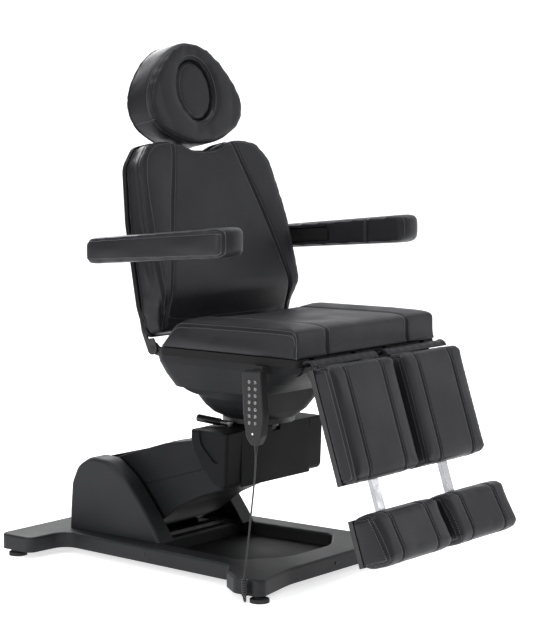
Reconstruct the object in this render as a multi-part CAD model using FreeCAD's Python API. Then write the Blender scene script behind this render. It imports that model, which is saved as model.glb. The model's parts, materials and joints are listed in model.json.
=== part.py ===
import FreeCAD, Part

import math
import os

from FreeCAD import Vector

# Facial treatment bed. Millimetres, +Z up, origin on the floor under the middle of the
# overall box. The chair faces -Y, and +X is the sitter's left-hand side.

# ---- base ----
COVER_FLOOR_GAP = 18.0
COVER_TOP = 60.0
WALL = 4.0
SEAM_Y = 180.0
REAR_BAR_HALF = 366.0
REAR_BAR_FRONT = 515.0
REAR_BAR_BACK = 632.9
DECK_FRONT = 215.0
TRAY_TOP = 24.0
FRAME_LOW = 24.0
FRAME_HIGH = 50.0
TUBE_WALL = 2.5
FRONT_FOOT = (324.0, -258.0)
REAR_FOOT = (339.0, 590.0)
FOOT_RADIUS = 25.0
CHEEK_INNER = 145.0
CHEEK_OUTER = 200.0

# ---- lift arm and head ----
LIFT_PIVOT = (435.0, 190.0)
HEAD_PIVOT = (15.0, 305.0)
LINK_DROP = 50.0
PIN_RADIUS = 12.0
SMALL_PIN_RADIUS = 7.0
RUNNING_GAP = 0.05
ARM_HALF = 130.0
PLATE_INNER = 134.0
PLATE_OUTER = 141.0
MOTOR_ANCHOR = (405.0, 85.0)
MOTOR_REACH = 330.0
HEAD_TOP = 386.0
HEAD_FRONT = -50.0
CAP_OUTER = 205.0

# ---- swivel and tilt ----
SWIVEL_Y = 10.0
DISC_LOW = 393.5
DISC_HIGH = 407.0
DISC_RADIUS = 97.0
POST_RADIUS = 25.0
TILT_PIVOT = (10.0, 530.0)
LEVER_HUB = (-110.0, 18.0)

# ---- seat ----
SEAT_HALF = 302.0
SEAT_FRONT = -358.0
SEAT_REAR = 102.0
SEAT_TOP = 686.0
SEAT_UNDER = 610.0
BOARD_LOW = 590.0
SEAT_FRAME_LOW = 566.0
SEAT_FRAME_HIGH = 588.0

# ---- backrest, arms and headrest ----
BACK_PIVOT = (152.0, 598.0)
BACK_LEAN = 15.06
BACK_FACE = -90.0
BACK_TOP = 534.0
ARM_PIVOT = (185.0, 862.0)
ARM_INNER = 330.0
ARM_OUTER = 420.0
HEAD_LEAN = 11.5
HEAD_ORIGIN = (293.0, 1114.7)
HEAD_DEPTH = 97.0
HEAD_TILT_PIVOT = (15.0, 64.0)

# ---- legs and feet ----
LEG_PIVOT = (-352.0, 588.0)
LEG_LEAN = -18.2
LEG_INNER = 15.5
LEG_OUTER = 289.0
RAIL_X = 152.0

# ---- handset and its cord ----
HANDSET_X = (-335.0, -311.0)
CORD_DIAMETER = 4.5
COIL_DIAMETER = 18.0


def pair(shape):
    """The shape and its mirror image across the middle plane X = 0."""
    return [shape, shape.mirror(Vector(0, 0, 0), Vector(1, 0, 0))]


def box(x0, x1, y0, y1, z0, z1):
    return Part.makeBox(x1 - x0, y1 - y0, z1 - z0, Vector(x0, y0, z0))


def rod_x(radius, x0, x1, centre):
    """Round bar along X, centred on (y, z)."""
    return Part.makeCylinder(radius, x1 - x0, Vector(x0, centre[0], centre[1]), Vector(1, 0, 0))


def rod_z(radius, z0, z1, x, y):
    return Part.makeCylinder(radius, z1 - z0, Vector(x, y, z0), Vector(0, 0, 1))


def fuse(shapes):
    whole = shapes[0]
    for shape in shapes[1:]:
        whole = whole.fuse(shape)
    return whole.removeSplitter()


def cut(shape, tools):
    for tool in tools:
        shape = shape.cut(tool)
    return shape


def save(name, shapes):
    group = shapes if isinstance(shapes, list) else [shapes]
    solids = [solid for shape in group for solid in shape.Solids]
    whole = solids[0] if len(solids) == 1 else Part.makeCompound(solids)
    whole.exportStep("parts/%s.step" % name)
    valid = all(solid.isValid() for solid in solids)
    print("%-20s solids %2d  litres %7.3f  %s" % (name, len(solids), whole.Volume / 1e6,
                                                 "ok" if valid else "INVALID"))


def lift_point(plane, level, u, v):
    """The point (u, v) of a section plane at the given level along the plane's normal."""
    if plane == "x":
        return Vector(level, u, v)
    if plane == "y":
        return Vector(u, level, v)
    return Vector(u, v, level)


def outline(corners, plane, level):
    """Closed wire through corners (u, v) or (u, v, radius), rounded by tangent arcs."""
    count = len(corners)
    arcs = []
    for index, corner in enumerate(corners):
        here = Vector(corner[0], corner[1], 0)
        radius = corner[2] if len(corner) > 2 else 0
        if radius == 0:
            arcs.append((here, None, here))
            continue
        before = corners[index - 1]
        after = corners[(index + 1) % count]
        to_before = (Vector(before[0], before[1], 0) - here).normalize()
        to_after = (Vector(after[0], after[1], 0) - here).normalize()
        half = to_before.getAngle(to_after) / 2
        bisector = (to_before + to_after).normalize()
        centre = here + bisector * (radius / math.sin(half))
        reach = radius / math.tan(half)
        arcs.append((here + to_before * reach, centre - bisector * radius, here + to_after * reach))
    edges = []
    for index, (start, middle, end) in enumerate(arcs):
        points = [lift_point(plane, level, p.x, p.y) for p in (start, middle, end) if p]
        last = arcs[index - 1][2]
        last_point = lift_point(plane, level, last.x, last.y)
        if last_point.distanceToPoint(points[0]) > 1e-4:
            edges.append(Part.LineSegment(last_point, points[0]).toShape())
        if middle:
            edges.append(Part.Arc(*points).toShape())
    return Part.Wire(edges)


def direction(plane):
    return {"x": Vector(1, 0, 0), "y": Vector(0, 1, 0), "z": Vector(0, 0, 1)}[plane]


def prism(corners, plane, low, high):
    face = Part.Face(outline(corners, plane, low))
    return face.extrude(direction(plane) * (high - low))


def inner_prism(corners, plane, low, high, wall):
    """Prism whose outline runs one wall thickness inside the given one."""
    face = Part.Face(outline(corners, plane, low)).makeOffset2D(-wall)
    return face.extrude(direction(plane) * (high - low))


def mirrored(half):
    """Full outline from its right half, listed from one end of the mirror line to the other."""
    other = [(-c[0],) + tuple(c[1:]) for c in reversed(half) if c[0] != 0]
    return half + other


def round_edges(shape, radius, wanted):
    return shape.makeFillet(radius, [edge for edge in shape.Edges if wanted(edge)])


def flat_at(axis, level):
    """Test for edges that lie wholly in the plane axis = level."""
    def test(edge):
        size = edge.BoundBox
        low, high = {"x": (size.XMin, size.XMax), "y": (size.YMin, size.YMax),
                     "z": (size.ZMin, size.ZMax)}[axis]
        return abs(low - level) < 0.01 and abs(high - level) < 0.01
    return test


def rounded_plan(half_x, y0, y1, radius):
    return [(-half_x, y0, radius), (half_x, y0, radius), (half_x, y1, radius), (-half_x, y1, radius)]


def loft(sections):
    """Solid through rounded rectangles given as (half_x, y0, y1, radius, z)."""
    wires = [outline(rounded_plan(*section[:4]), "z", section[4]) for section in sections]
    return Part.makeLoft(wires, True, True)


def along(start, end):
    """Unit vector in the YZ plane from start to end, and the distance."""
    dy, dz = end[0] - start[0], end[1] - start[1]
    length = math.hypot(dy, dz)
    return (dy / length, dz / length), length


def bar(start, end, width, x0, x1):
    """Flat bar in the YZ plane from start to end, as wide as given and x0 to x1 thick."""
    (uy, uz), _ = along(start, end)
    half = width / 2
    corners = [(start[0] - uz * half, start[1] + uy * half), (start[0] + uz * half, start[1] - uy * half),
               (end[0] + uz * half, end[1] - uy * half), (end[0] - uz * half, end[1] + uy * half)]
    return prism(corners, "x", x0, x1)


def round_bar(radius, start, way, begin, finish, x=0.0):
    """Round bar in the YZ plane, from begin to finish along the unit vector way."""
    base = Vector(x, start[0] + way[0] * begin, start[1] + way[1] * begin)
    return Part.makeCylinder(radius, finish - begin, base, Vector(0, way[0], way[1]))


def placed(point, pivot, degrees):
    """World (y, z) of a point of a part that leaned() carries to its pivot."""
    c, s = math.cos(math.radians(degrees)), math.sin(math.radians(degrees))
    return (pivot[0] + point[0] * c - point[1] * s, pivot[1] + point[0] * s + point[1] * c)


def unplaced(point, pivot, degrees):
    """Upright (y, z) of a world point, the reverse of placed()."""
    return placed((point[0] - pivot[0], point[1] - pivot[1]), (0, 0), -degrees)


def leaned(shape, pivot, degrees):
    """Turn a part drawn upright about the origin, then carry it to its pivot (y, z)."""
    turned = shape.copy()
    turned.rotate(Vector(0, 0, 0), Vector(1, 0, 0), degrees)
    turned.translate(Vector(0, pivot[0], pivot[1]))
    return turned


# ---------------------------------------------------------------- base

def front_cover_corners():
    outer = [(249, SEAM_Y), (259, -104, 20), (312, -140, 20), (350, -196, 30), (347, -283, 22),
             (200, -252, 300)]
    inner = [(90, -165, 120), (196, -90, 30), (184, SEAM_Y)]
    left_outer = [(-c[0],) + tuple(c[1:]) for c in reversed(outer)]
    left_inner = [(-c[0],) + tuple(c[1:]) for c in reversed(inner)]
    return outer + left_outer + left_inner + inner


def rear_cover_corners():
    seam = SEAM_Y + 0.6
    outer = [(249, seam), (239, REAR_BAR_FRONT - 8, 45), (REAR_BAR_HALF, REAR_BAR_FRONT, 22),
             (REAR_BAR_HALF, REAR_BAR_BACK, 22)]
    inner = [(183, DECK_FRONT, 14), (184, seam)]
    left_outer = [(-c[0],) + tuple(c[1:]) for c in reversed(outer)]
    left_inner = [(-c[0],) + tuple(c[1:]) for c in reversed(inner)]
    return outer + left_outer + left_inner + inner


def base_cover(corners):
    """Low plastic cover, open underneath, with a softened top edge."""
    shell = prism(corners, "z", COVER_FLOOR_GAP, COVER_TOP)
    top = flat_at("z", COVER_TOP)
    seam = [flat_at("y", SEAM_Y), flat_at("y", SEAM_Y + 0.6)]
    shell = round_edges(shell, 7, lambda e: top(e) and not any(test(e) for test in seam))
    hollow = inner_prism(corners, "z", COVER_FLOOR_GAP - 1, COVER_TOP - WALL, WALL)
    doors = pair(box(189, 244, SEAM_Y - 8, SEAM_Y + 9, COVER_FLOOR_GAP - 1, COVER_TOP - WALL))
    return cut(shell, [hollow] + doors)


def side_screw():
    return Part.makeCylinder(4, 3, Vector(246.5, 205, 40), Vector(1, 0, 0))


def make_base_covers():
    tab_notches = pair(box(178, 205, 19, 61, COVER_FLOOR_GAP - 1, TRAY_TOP + 0.5))
    save("front_base_cover", cut(base_cover(front_cover_corners()), tab_notches))
    opening = box(-PLATE_OUTER - 1, PLATE_OUTER + 1, 240, 502, COVER_TOP - WALL - 1, COVER_TOP + 1)
    inlet_hole = box(-26, 2, REAR_BAR_BACK - 6, REAR_BAR_BACK + 1, 28, 50)
    openings = [opening, inlet_hole] + pair(side_screw())
    save("rear_base_cover", cut(base_cover(rear_cover_corners()), openings))
    tray_half = [(90, -163.4, 120), (194.8, -90, 30), (182.2, DECK_FRONT - 1, 12)]
    tray = prism(mirrored(tray_half), "z", TRAY_TOP - WALL, TRAY_TOP)
    tabs = pair(box(178, 230, 20, 60, TRAY_TOP - WALL, TRAY_TOP))
    save("base_tray", fuse([tray] + tabs))


def frame_tubes():
    """Plan outlines of the welded rectangular tubes of the floor frame."""
    def rect(x0, x1, y0, y1):
        return [(x0, y0), (x1, y0), (x1, y1), (x0, y1)]
    side = [(198, 560), (230, 560), (243, -190), (211, -190)]
    other = [(-x, y) for x, y in side]
    front = rect(-305, 305, -232, -186)
    rear = rect(-352, 352, 560, 612)
    cross_1 = rect(-206, 206, 300, 330)
    cross_2 = rect(-206, 206, 505, 535)
    corner = rect(296, 333, -263, -190)
    corner_2 = rect(-333, -296, -263, -190)
    return [side, other, front, rear, cross_1, cross_2, corner, corner_2]


def make_base_frame():
    outers = [prism(plan, "z", FRAME_LOW, FRAME_HIGH) for plan in frame_tubes()]
    hollows = [inner_prism(plan, "z", FRAME_LOW + TUBE_WALL, FRAME_HIGH - TUBE_WALL, TUBE_WALL)
               for plan in frame_tubes()]
    save("base_frame", cut(fuse(outers), hollows))


def make_levelling_feet():
    feet = []
    for x, y in (FRONT_FOOT, REAR_FOOT):
        pad = round_edges(rod_z(FOOT_RADIUS, 0, 10, x, y), 2.5, flat_at("z", 10))
        foot = fuse([pad, rod_z(13, 10, 13, x, y), rod_z(6, 13, FRAME_LOW, x, y)])
        feet += pair(foot)
    save("levelling_feet", feet)


def cheek_corners():
    return [(188, 60.5), (207, 89, 60), (261, 158, 150), (316, 220, 150), (383, 266, 60),
            (447, 270, 60), (498, 240, 60), (522, 190, 60), (529, 110, 100), (531, 60.5)]


def make_hump_covers():
    outer = prism(cheek_corners(), "x", CHEEK_INNER, CHEEK_OUTER)
    floor = flat_at("z", 60.5)
    face = flat_at("x", CHEEK_OUTER)
    outer = round_edges(outer, 12, lambda e: face(e) and not floor(e))
    hollow = inner_prism(cheek_corners(), "x", CHEEK_INNER - 1, CHEEK_OUTER - WALL, WALL)
    cheek = outer.cut(hollow)
    half = CHEEK_INNER - 0.4
    ring = prism(cheek_corners(), "x", -half, half).cut(
        inner_prism(cheek_corners(), "x", -half - 1, half + 1, WALL))
    rear = cut(ring, [box(-200, 200, 100, 472, 0, 400), box(-200, 200, 100, 524, 0, 67)])
    save("hump_covers", pair(cheek) + [rear])


def make_pivot_bracket():
    y, z = LIFT_PIVOT
    floor = box(-PLATE_OUTER, PLATE_OUTER, 330, 505, FRAME_LOW, FRAME_LOW + 8)
    top = FRAME_LOW + 8
    outer = fuse([prism([(345, top), (500, top), (y + 32, z), (y - 32, z)], "x", PLATE_INNER, PLATE_OUTER),
                  rod_x(33, PLATE_INNER, PLATE_OUTER, LIFT_PIVOT)])
    inner = fuse([prism([(395, top), (475, top), (y + 21, z), (y - 21, z)], "x", 52, 58),
                  rod_x(22, 52, 58, LIFT_PIVOT)])
    anchor = fuse([prism([(383, top), (427, top), (417, 85), (393, 85)], "x", 20, 26),
                   rod_x(12, 20, 26, MOTOR_ANCHOR)])
    plates = pair(outer) + pair(inner) + pair(anchor)
    lower = (y, z - LINK_DROP)
    bores = [rod_x(PIN_RADIUS, -200, 200, LIFT_PIVOT), rod_x(SMALL_PIN_RADIUS, -200, 200, lower),
             rod_x(SMALL_PIN_RADIUS, -200, 200, MOTOR_ANCHOR)]
    save("pivot_bracket", cut(fuse([floor] + plates), bores))
    main_pin = fuse([rod_x(PIN_RADIUS, -PLATE_OUTER, PLATE_OUTER, LIFT_PIVOT)] +
                    pair(rod_x(16, PLATE_OUTER, PLATE_OUTER + 3, LIFT_PIVOT)))
    save("base_pivot_pins", [main_pin, rod_x(SMALL_PIN_RADIUS, -58, 58, lower),
                             rod_x(SMALL_PIN_RADIUS, -26, 26, MOTOR_ANCHOR)])


def make_base_electrics():
    control = round_edges(box(153, 190, 300, 420, 66, 170), 4, flat_at("z", 170))
    supply = round_edges(box(-190, -153, 300, 420, 66, 160), 4, flat_at("z", 160))
    body = box(-25.5, 1.5, 600, REAR_BAR_BACK - 4.5, 28.5, 49.5).cut(
        box(-30, 10, 599, 613, FRAME_LOW - 1, FRAME_HIGH + 1))
    flange = box(-25.5, 1.5, REAR_BAR_BACK - 4.5, REAR_BAR_BACK - 0.5, 28.5, 49.5)
    mouth = box(-22, -2, REAR_BAR_BACK - 14, REAR_BAR_BACK + 1, 32, 46)
    save("base_electrics", [control, supply, cut(fuse([body, flange]), [mouth])])


def make_cover_screws():
    front = Part.makeCylinder(4, 1.8, Vector(0, -252.05, 38), Vector(0, -1, 0))
    save("cover_screws", pair(side_screw()) + [front])


# ---------------------------------------------------------------- lift arm

def arm_way():
    return along(LIFT_PIVOT, HEAD_PIVOT)


def on_arm(reach, rise=0.0):
    """Point on the lift arm, reach from its base pivot and rise above its centre line."""
    (uy, uz), _ = arm_way()
    return (LIFT_PIVOT[0] + uy * reach + uz * rise, LIFT_PIVOT[1] + uz * reach - uy * rise)


def make_lift_arm():
    side = fuse([bar(LIFT_PIVOT, HEAD_PIVOT, 24, 96, 104),
                 rod_x(18, 86, 124, LIFT_PIVOT), rod_x(18, 86, 124, HEAD_PIVOT)])
    tie = rod_x(9, -98, 98, on_arm(160, 14))
    motor_pin = rod_x(SMALL_PIN_RADIUS, -98, 98, on_arm(MOTOR_REACH))
    bores = [rod_x(PIN_RADIUS + RUNNING_GAP, -200, 200, LIFT_PIVOT),
             rod_x(PIN_RADIUS + RUNNING_GAP, -200, 200, HEAD_PIVOT)]
    save("lift_arm", cut(fuse(pair(side) + [tie, motor_pin]), bores))


def lift_cover_corners():
    return [(495, 234, 45), (495, 150, 40), (400, 108, 60), (330, 62, 14), (256, 98, 60),
            (179, 155, 120), (107, 189, 120), (14, 222, 10), (-24, 262, 24), (-35, 310, 30),
            (-8, 354, 34), (60, 353, 60), (135, 339, 100), (229, 322, 100), (362, 280, 100)]


def make_lift_covers():
    corners = lift_cover_corners()
    outer = prism(corners, "x", -ARM_HALF, ARM_HALF)
    outer = round_edges(outer, 3, lambda e: flat_at("x", ARM_HALF)(e) or flat_at("x", -ARM_HALF)(e))
    shell = outer.cut(inner_prism(corners, "x", -ARM_HALF + WALL, ARM_HALF - WALL, WALL))
    inside = ARM_HALF - WALL - 1
    openings = [box(-inside, inside, -60, 64, 232, 400), box(-inside, inside, 366, 520, 0, 215),
                box(-inside, inside, 470, 520, 100, 300),
                rod_x(16, -200, 200, LIFT_PIVOT), rod_x(16, -200, 200, HEAD_PIVOT)]
    shell = cut(shell, openings)
    seam = [(-60, 313.2), (107, 262), (345, 189), (560, 123.1)]
    above = prism(seam + [(560, 500), (-60, 500)], "x", -200, 200)
    below = prism([(y, z - 0.6) for y, z in seam] + [(560, 0), (-60, 0)], "x", -200, 200)
    save("lift_covers", [shell.common(above), shell.common(below)])


def make_lower_link():
    rear = (LIFT_PIVOT[0], LIFT_PIVOT[1] - LINK_DROP)
    front = (HEAD_PIVOT[0], HEAD_PIVOT[1] - LINK_DROP)
    side = fuse([bar(rear, front, 18, 40, 48), rod_x(13, 40, 48, rear), rod_x(13, 40, 48, front)])
    (uy, uz), _ = along(rear, front)
    tie = rod_x(6, -44, 44, (rear[0] + uy * 60, rear[1] + uz * 60))
    bores = [rod_x(SMALL_PIN_RADIUS + RUNNING_GAP, -60, 60, rear),
             rod_x(SMALL_PIN_RADIUS + 0.3, -60, 60, front)]
    save("lower_link", cut(fuse(pair(side) + [tie]), bores))


def make_lift_motor():
    anchor = on_arm(MOTOR_REACH)
    way, length = along(anchor, MOTOR_ANCHOR)
    up = (-way[1], way[0])
    casing_start = (anchor[0] + up[0] * 45, anchor[1] + up[1] * 45)
    body = fuse([rod_x(15, -18, 18, anchor), round_bar(24, anchor, way, 12, 225),
                 round_bar(23, casing_start, way, 34, 130), bar(
                     (anchor[0] + way[0] * 52, anchor[1] + way[1] * 52),
                     (casing_start[0] + way[0] * 52, casing_start[1] + way[1] * 52), 34, -20, 20)])
    bores = [rod_x(SMALL_PIN_RADIUS + RUNNING_GAP, -60, 60, anchor), round_bar(10.1, anchor, way, 60, 300)]
    save("lift_motor", cut(body, bores))
    eye = MOTOR_ANCHOR
    rod = fuse([round_bar(10, anchor, way, 150, length - 15), rod_x(19, -12, 12, eye)])
    save("lift_rod", cut(rod, [rod_x(12.5, -60, 60, eye)]))
    print("lift motor: length %.1f, axis (%.4f, %.4f)" % (length, way[0], way[1]))


# ---------------------------------------------------------------- head and swivel

def make_head_frame():
    y, z = HEAD_PIVOT
    top = box(-PLATE_OUTER, PLATE_OUTER, -42, 70, 368, 380)
    outer = fuse([box(PLATE_INNER, PLATE_OUTER, y - 30, y + 30, z, 368),
                  rod_x(30, PLATE_INNER, PLATE_OUTER, HEAD_PIVOT)])
    lower = (y, z - LINK_DROP)
    inner = fuse([prism([(-8, 368), (38, 368), (y + 15, lower[1]), (y - 15, lower[1])], "x", 52, 58),
                  rod_x(15, 52, 58, lower)])
    bores = [rod_x(PIN_RADIUS, -200, 200, HEAD_PIVOT), rod_x(SMALL_PIN_RADIUS, -200, 200, lower)]
    flange = rod_z(60, 380, 393, 0, SWIVEL_Y)
    post = rod_z(POST_RADIUS, 380, 430, 0, SWIVEL_Y)
    stud = rod_z(5, 380, 400, *LEVER_HUB)
    frame = fuse([top, flange, post, stud] + pair(outer) + pair(inner))
    save("head_frame", cut(frame, bores))
    pins = [rod_x(PIN_RADIUS, -PLATE_OUTER, PLATE_OUTER, HEAD_PIVOT),
            rod_x(SMALL_PIN_RADIUS, -58, 58, lower)]
    save("head_pivot_pins", pins)


def cap_corners():
    return [(75, HEAD_TOP, 5), (75, 345, 50), (42, 288, 80), (2, 248, 60), (-45, 230, 18),
            (HEAD_FRONT - 1, HEAD_TOP, 5)]


def make_head_covers():
    cap = prism(cap_corners(), "x", 144.6, CAP_OUTER)
    cap = round_edges(cap, 9, flat_at("x", CAP_OUTER))
    hollow = inner_prism(cap_corners(), "x", 143, CAP_OUTER - WALL - 5, WALL)
    scoop = prism([(44, 400), (42, 350, 50), (-22, 290, 16), (-33, 330, 20), (-32, 400)], "x",
                  CAP_OUTER - 4, CAP_OUTER + 1)
    save("head_caps", pair(cut(cap, [hollow, scoop])))
    front = box(-144, 144, HEAD_FRONT, HEAD_FRONT + WALL, 236, HEAD_TOP)
    top = box(-144, 144, HEAD_FRONT + 1, 74, 381, HEAD_TOP)
    shell = fuse([front, top])
    shell = round_edges(shell, 2.5, lambda e: flat_at("y", HEAD_FRONT)(e) and
                        (flat_at("z", HEAD_TOP)(e) or flat_at("z", 236)(e)))
    holes = [rod_z(62, 370, 400, 0, SWIVEL_Y), rod_z(7, 370, 400, *LEVER_HUB)]
    save("head_front_cover", cut(shell, holes))


def make_lock_lever():
    start = Vector(LEVER_HUB[0], LEVER_HUB[1], 392.5)
    tip = Vector(-152, 100, 408)
    way = (tip - start).normalize()
    hub = rod_z(9, 387, 399, *LEVER_HUB)
    collar = Part.makeCylinder(7.5, 26, start, way)
    stem = Part.makeCylinder(5, 70, start, way)
    bore = rod_z(5 + RUNNING_GAP, 380, 410, *LEVER_HUB)
    save("lever_collar", cut(fuse([hub, collar, stem]), [bore]))
    grip = Part.makeCylinder(10, 66, start + way * 26.2, way)
    end = start + way * 92.2
    grip = round_edges(grip, 6, lambda e: e.BoundBox.Center.distanceToPoint(end) < 1)
    save("lever_grip", grip.cut(Part.makeCylinder(5, 45, start + way * 25, way)))


def bowl_sections(wall, top):
    """Sections of the bowl under the seat, (half_x, y0, y1, radius, z), one wall smaller."""
    outer = [(98, 98, 92, 406.8), (133, 101, 82, 423), (163, 102, 79, 445), (186, 103, 76, 470),
             (198, 104, 74, top)]
    return [(half - wall, SWIVEL_Y - depth + wall, SWIVEL_Y + depth * 0.9 - wall, radius - wall,
             z + (wall if index == 0 else 0)) for index, (half, depth, radius, z) in enumerate(outer)]


def bolt_places():
    return [(x, y) for x in (-54, 54) for y in (SWIVEL_Y - 48, SWIVEL_Y + 48)]


def make_turntable():
    holes = [rod_z(5, 380, 430, x, y) for x, y in bolt_places()]
    post_hole = rod_z(POST_RADIUS + RUNNING_GAP, 380, 440, 0, SWIVEL_Y)
    disc = rod_z(DISC_RADIUS, DISC_LOW, DISC_HIGH - 0.4, 0, SWIVEL_Y)
    save("swivel_disc", cut(disc, holes + [post_hole]))
    bowl = loft(bowl_sections(0, 500)).cut(loft(bowl_sections(WALL, 500.5)))
    floor_hole = rod_z(POST_RADIUS + 2, 380, 440, 0, SWIVEL_Y)
    save("turret_bowl", cut(bowl, holes + [floor_hole]))
    y, z = TILT_PIVOT
    foot = fuse([rod_z(84, 411, 421, 0, y), box(-106, 106, y - 38, y + 38, 421, 429)])
    ear = fuse([prism([(y - 38, 425), (y + 38, 425), (y + 21, z), (y - 21, z)], "x", 94, 106),
                rod_x(22, 94, 106, TILT_PIVOT)])
    brace = box(-95, 95, y + 24, y + 30, 425, 470)
    bore = rod_x(10, -200, 200, TILT_PIVOT)
    save("turret", cut(fuse([foot, brace] + pair(ear)), holes + [post_hole, bore]))
    bolts = [fuse([rod_z(8, 386.8, DISC_LOW, x, yy), rod_z(5, DISC_LOW, 421, x, yy),
                   rod_z(8, 421, 427, x, yy)]) for x, yy in bolt_places()]
    tilt_pins = pair(rod_x(10, 94, 118, TILT_PIVOT))
    save("turntable_bolts", bolts + tilt_pins)


# ---------------------------------------------------------------- seat

def pan_sections(wall):
    """Sections of the pan under the seat board, (half_x, y0, y1, radius, z)."""
    outer = [(285, -334, 138, 42, 589.4), (281, -318, 137, 46, 568), (268, -270, 132, 58, 535),
             (250, -206, 122, 68, 502)]
    last = len(outer) - 1
    return [(half - wall, y0 + wall, y1 - wall, radius - wall,
             z + (0.5 if index == 0 else -0.5 if index == last else 0) * (1 if wall else 0))
            for index, (half, y0, y1, radius, z) in enumerate(outer)]


BACK_MOTOR_X = -50.0
BACK_MOTOR_ANCHOR = (-230.0, 548.0)
BACK_CRANK = 40.0


def make_seat_pan():
    pan = loft(pan_sections(0)).cut(loft(pan_sections(WALL)))
    notches = pair(box(252, 269, 60, 200, 560, 600))
    notches.append(box(BACK_MOTOR_X - 24, BACK_MOTOR_X + 24, 100, 200, 536, 600))
    for x in (63, 225):
        notches += pair(box(x, x + 16, -345, -296, 560, 600))
    pan = cut(pan, notches)
    lobe = rod_x(140, 244, 249.5, (-3, 628)).common(box(200, 300, -200, 200, 400, 530))
    save("seat_pan", fuse([pan] + pair(lobe)))


def make_seat_frame():
    low, high = SEAT_FRAME_LOW, SEAT_FRAME_HIGH
    y, z = TILT_PIVOT
    side = box(212, 240, -300, 88, low, high)
    rear = box(108, 240, 60, 88, low, high)
    rear_ear = box(236, 260, 66, 84, low, high)
    rail = box(108, 118, -302, 62, low, high)
    lug = fuse([prism([(y - 34, low), (y + 34, low), (y + 21, z), (y - 21, z)], "x", 108, 118),
                rod_x(22, 108, 118, TILT_PIVOT)])
    front = box(-240, 240, -306, -280, low, high)
    py, pz = BACK_PIVOT
    back_lug = fuse([prism([(70, low), (70, high - 0.5), (101, high - 0.5), (py, pz + 15), (py, pz - 15)],
                          "x", 254, 260),
                     rod_x(16, 254, 260, BACK_PIVOT)])
    ly, lz = LEG_PIVOT
    leg_lugs = [fuse([prism([(-296, low), (-296, high - 0.5), (-337, high - 0.5), (ly, lz + 13), (ly, lz - 13)],
                            "x", x, x + 6), rod_x(14, x, x + 6, LEG_PIVOT)]) for x in (68, 230)]
    ay, az = BACK_MOTOR_ANCHOR
    anchor = [fuse([prism([(-300, low), (-300, high), (ay + 4, az + 14), (ay, az - 14)], "x", x, x + 6),
                    rod_x(14, x, x + 6, BACK_MOTOR_ANCHOR)]) for x in (BACK_MOTOR_X - 24, BACK_MOTOR_X + 18)]
    mirrored_parts = [side, rear, rear_ear, rail, lug, back_lug] + leg_lugs
    whole = [front] + anchor
    for part in mirrored_parts:
        whole += pair(part)
    bores = [rod_x(10 + RUNNING_GAP, -200, 200, TILT_PIVOT), rod_x(8, -300, 300, BACK_PIVOT),
             rod_x(7, -300, 300, LEG_PIVOT), rod_x(8, -80, -20, BACK_MOTOR_ANCHOR)]
    save("seat_frame", cut(fuse(whole), bores))
    pins = pair(rod_x(8, 254, 268, BACK_PIVOT))
    for x in (60, 230):
        pins += pair(rod_x(7, x, x + 14, LEG_PIVOT))
    pins.append(rod_x(8, BACK_MOTOR_X - 24, BACK_MOTOR_X + 24, BACK_MOTOR_ANCHOR))
    save("seat_hinge_pins", pins)


def make_seat_board():
    board = prism(rounded_plan(298, SEAT_FRONT + 4, SEAT_REAR - 3, 14), "z", BOARD_LOW, SEAT_UNDER - 0.2)
    notches = []
    for x in (58, 228):
        notches += pair(box(x, x + 18, SEAT_FRONT - 5, -334, 580, 620))
    notches.append(box(BACK_MOTOR_X - 15, BACK_MOTOR_X + 15, 86, 110, 580, 620))
    save("seat_board", cut(board, notches))


def make_seat_cushion():
    side = [(SEAT_FRONT, SEAT_UNDER), (SEAT_FRONT, SEAT_TOP, 16), (46, SEAT_TOP - 4, 60),
            (SEAT_REAR, SEAT_UNDER)]
    cushion = prism(side, "x", -SEAT_HALF, SEAT_HALF)
    save("seat_cushion", cushion)


def make_handset_hook():
    plate = box(-309, -287, -256, -228, 586.3, 589.8)
    drop = box(-309, -304.5, -256, -228, 560, 589.8)
    peg = box(-315, -304.5, -250, -234, 560, 566)
    save("handset_hook", fuse([plate, drop, peg]))


# ---------------------------------------------------------------- backrest

def back_rear(height):
    """Rear face of the back board, which slopes in towards the top."""
    return 10 - (height - 20) / 15.0


def back_half_outline():
    return [(0, 30), (274, 30, 34), (290, 110, 120), (285, 330, 200), (264, 480, 60), (218, BACK_TOP - 3, 40),
            (152, BACK_TOP + 7, 60), (95, BACK_TOP - 2, 50), (46, BACK_TOP - 20, 50), (0, BACK_TOP - 22)]


def back_slab(front, rear_offset):
    """Backrest outline cut to the space between a front profile and the sloping rear face."""
    plate = prism(mirrored(back_half_outline()), "y", -200, 100)
    side = front + [(back_rear(560) - rear_offset, 560), (back_rear(20) - rear_offset, 20)]
    return plate.common(prism(side, "x", -400, 400))


def make_backrest():
    profile = [(-38, 20, 0), (-50, 62, 30), (BACK_FACE, 128, 80), (BACK_FACE, 548, 0)]
    cushion = back_slab(profile, 12.3)
    save("back_cushion", leaned(cushion, BACK_PIVOT, -BACK_LEAN))
    board_front = [(back_rear(20) - 12, 20), (back_rear(560) - 12, 560)]
    board = back_slab(board_front, 0)
    save("back_board", leaned(board, BACK_PIVOT, -BACK_LEAN))


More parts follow.
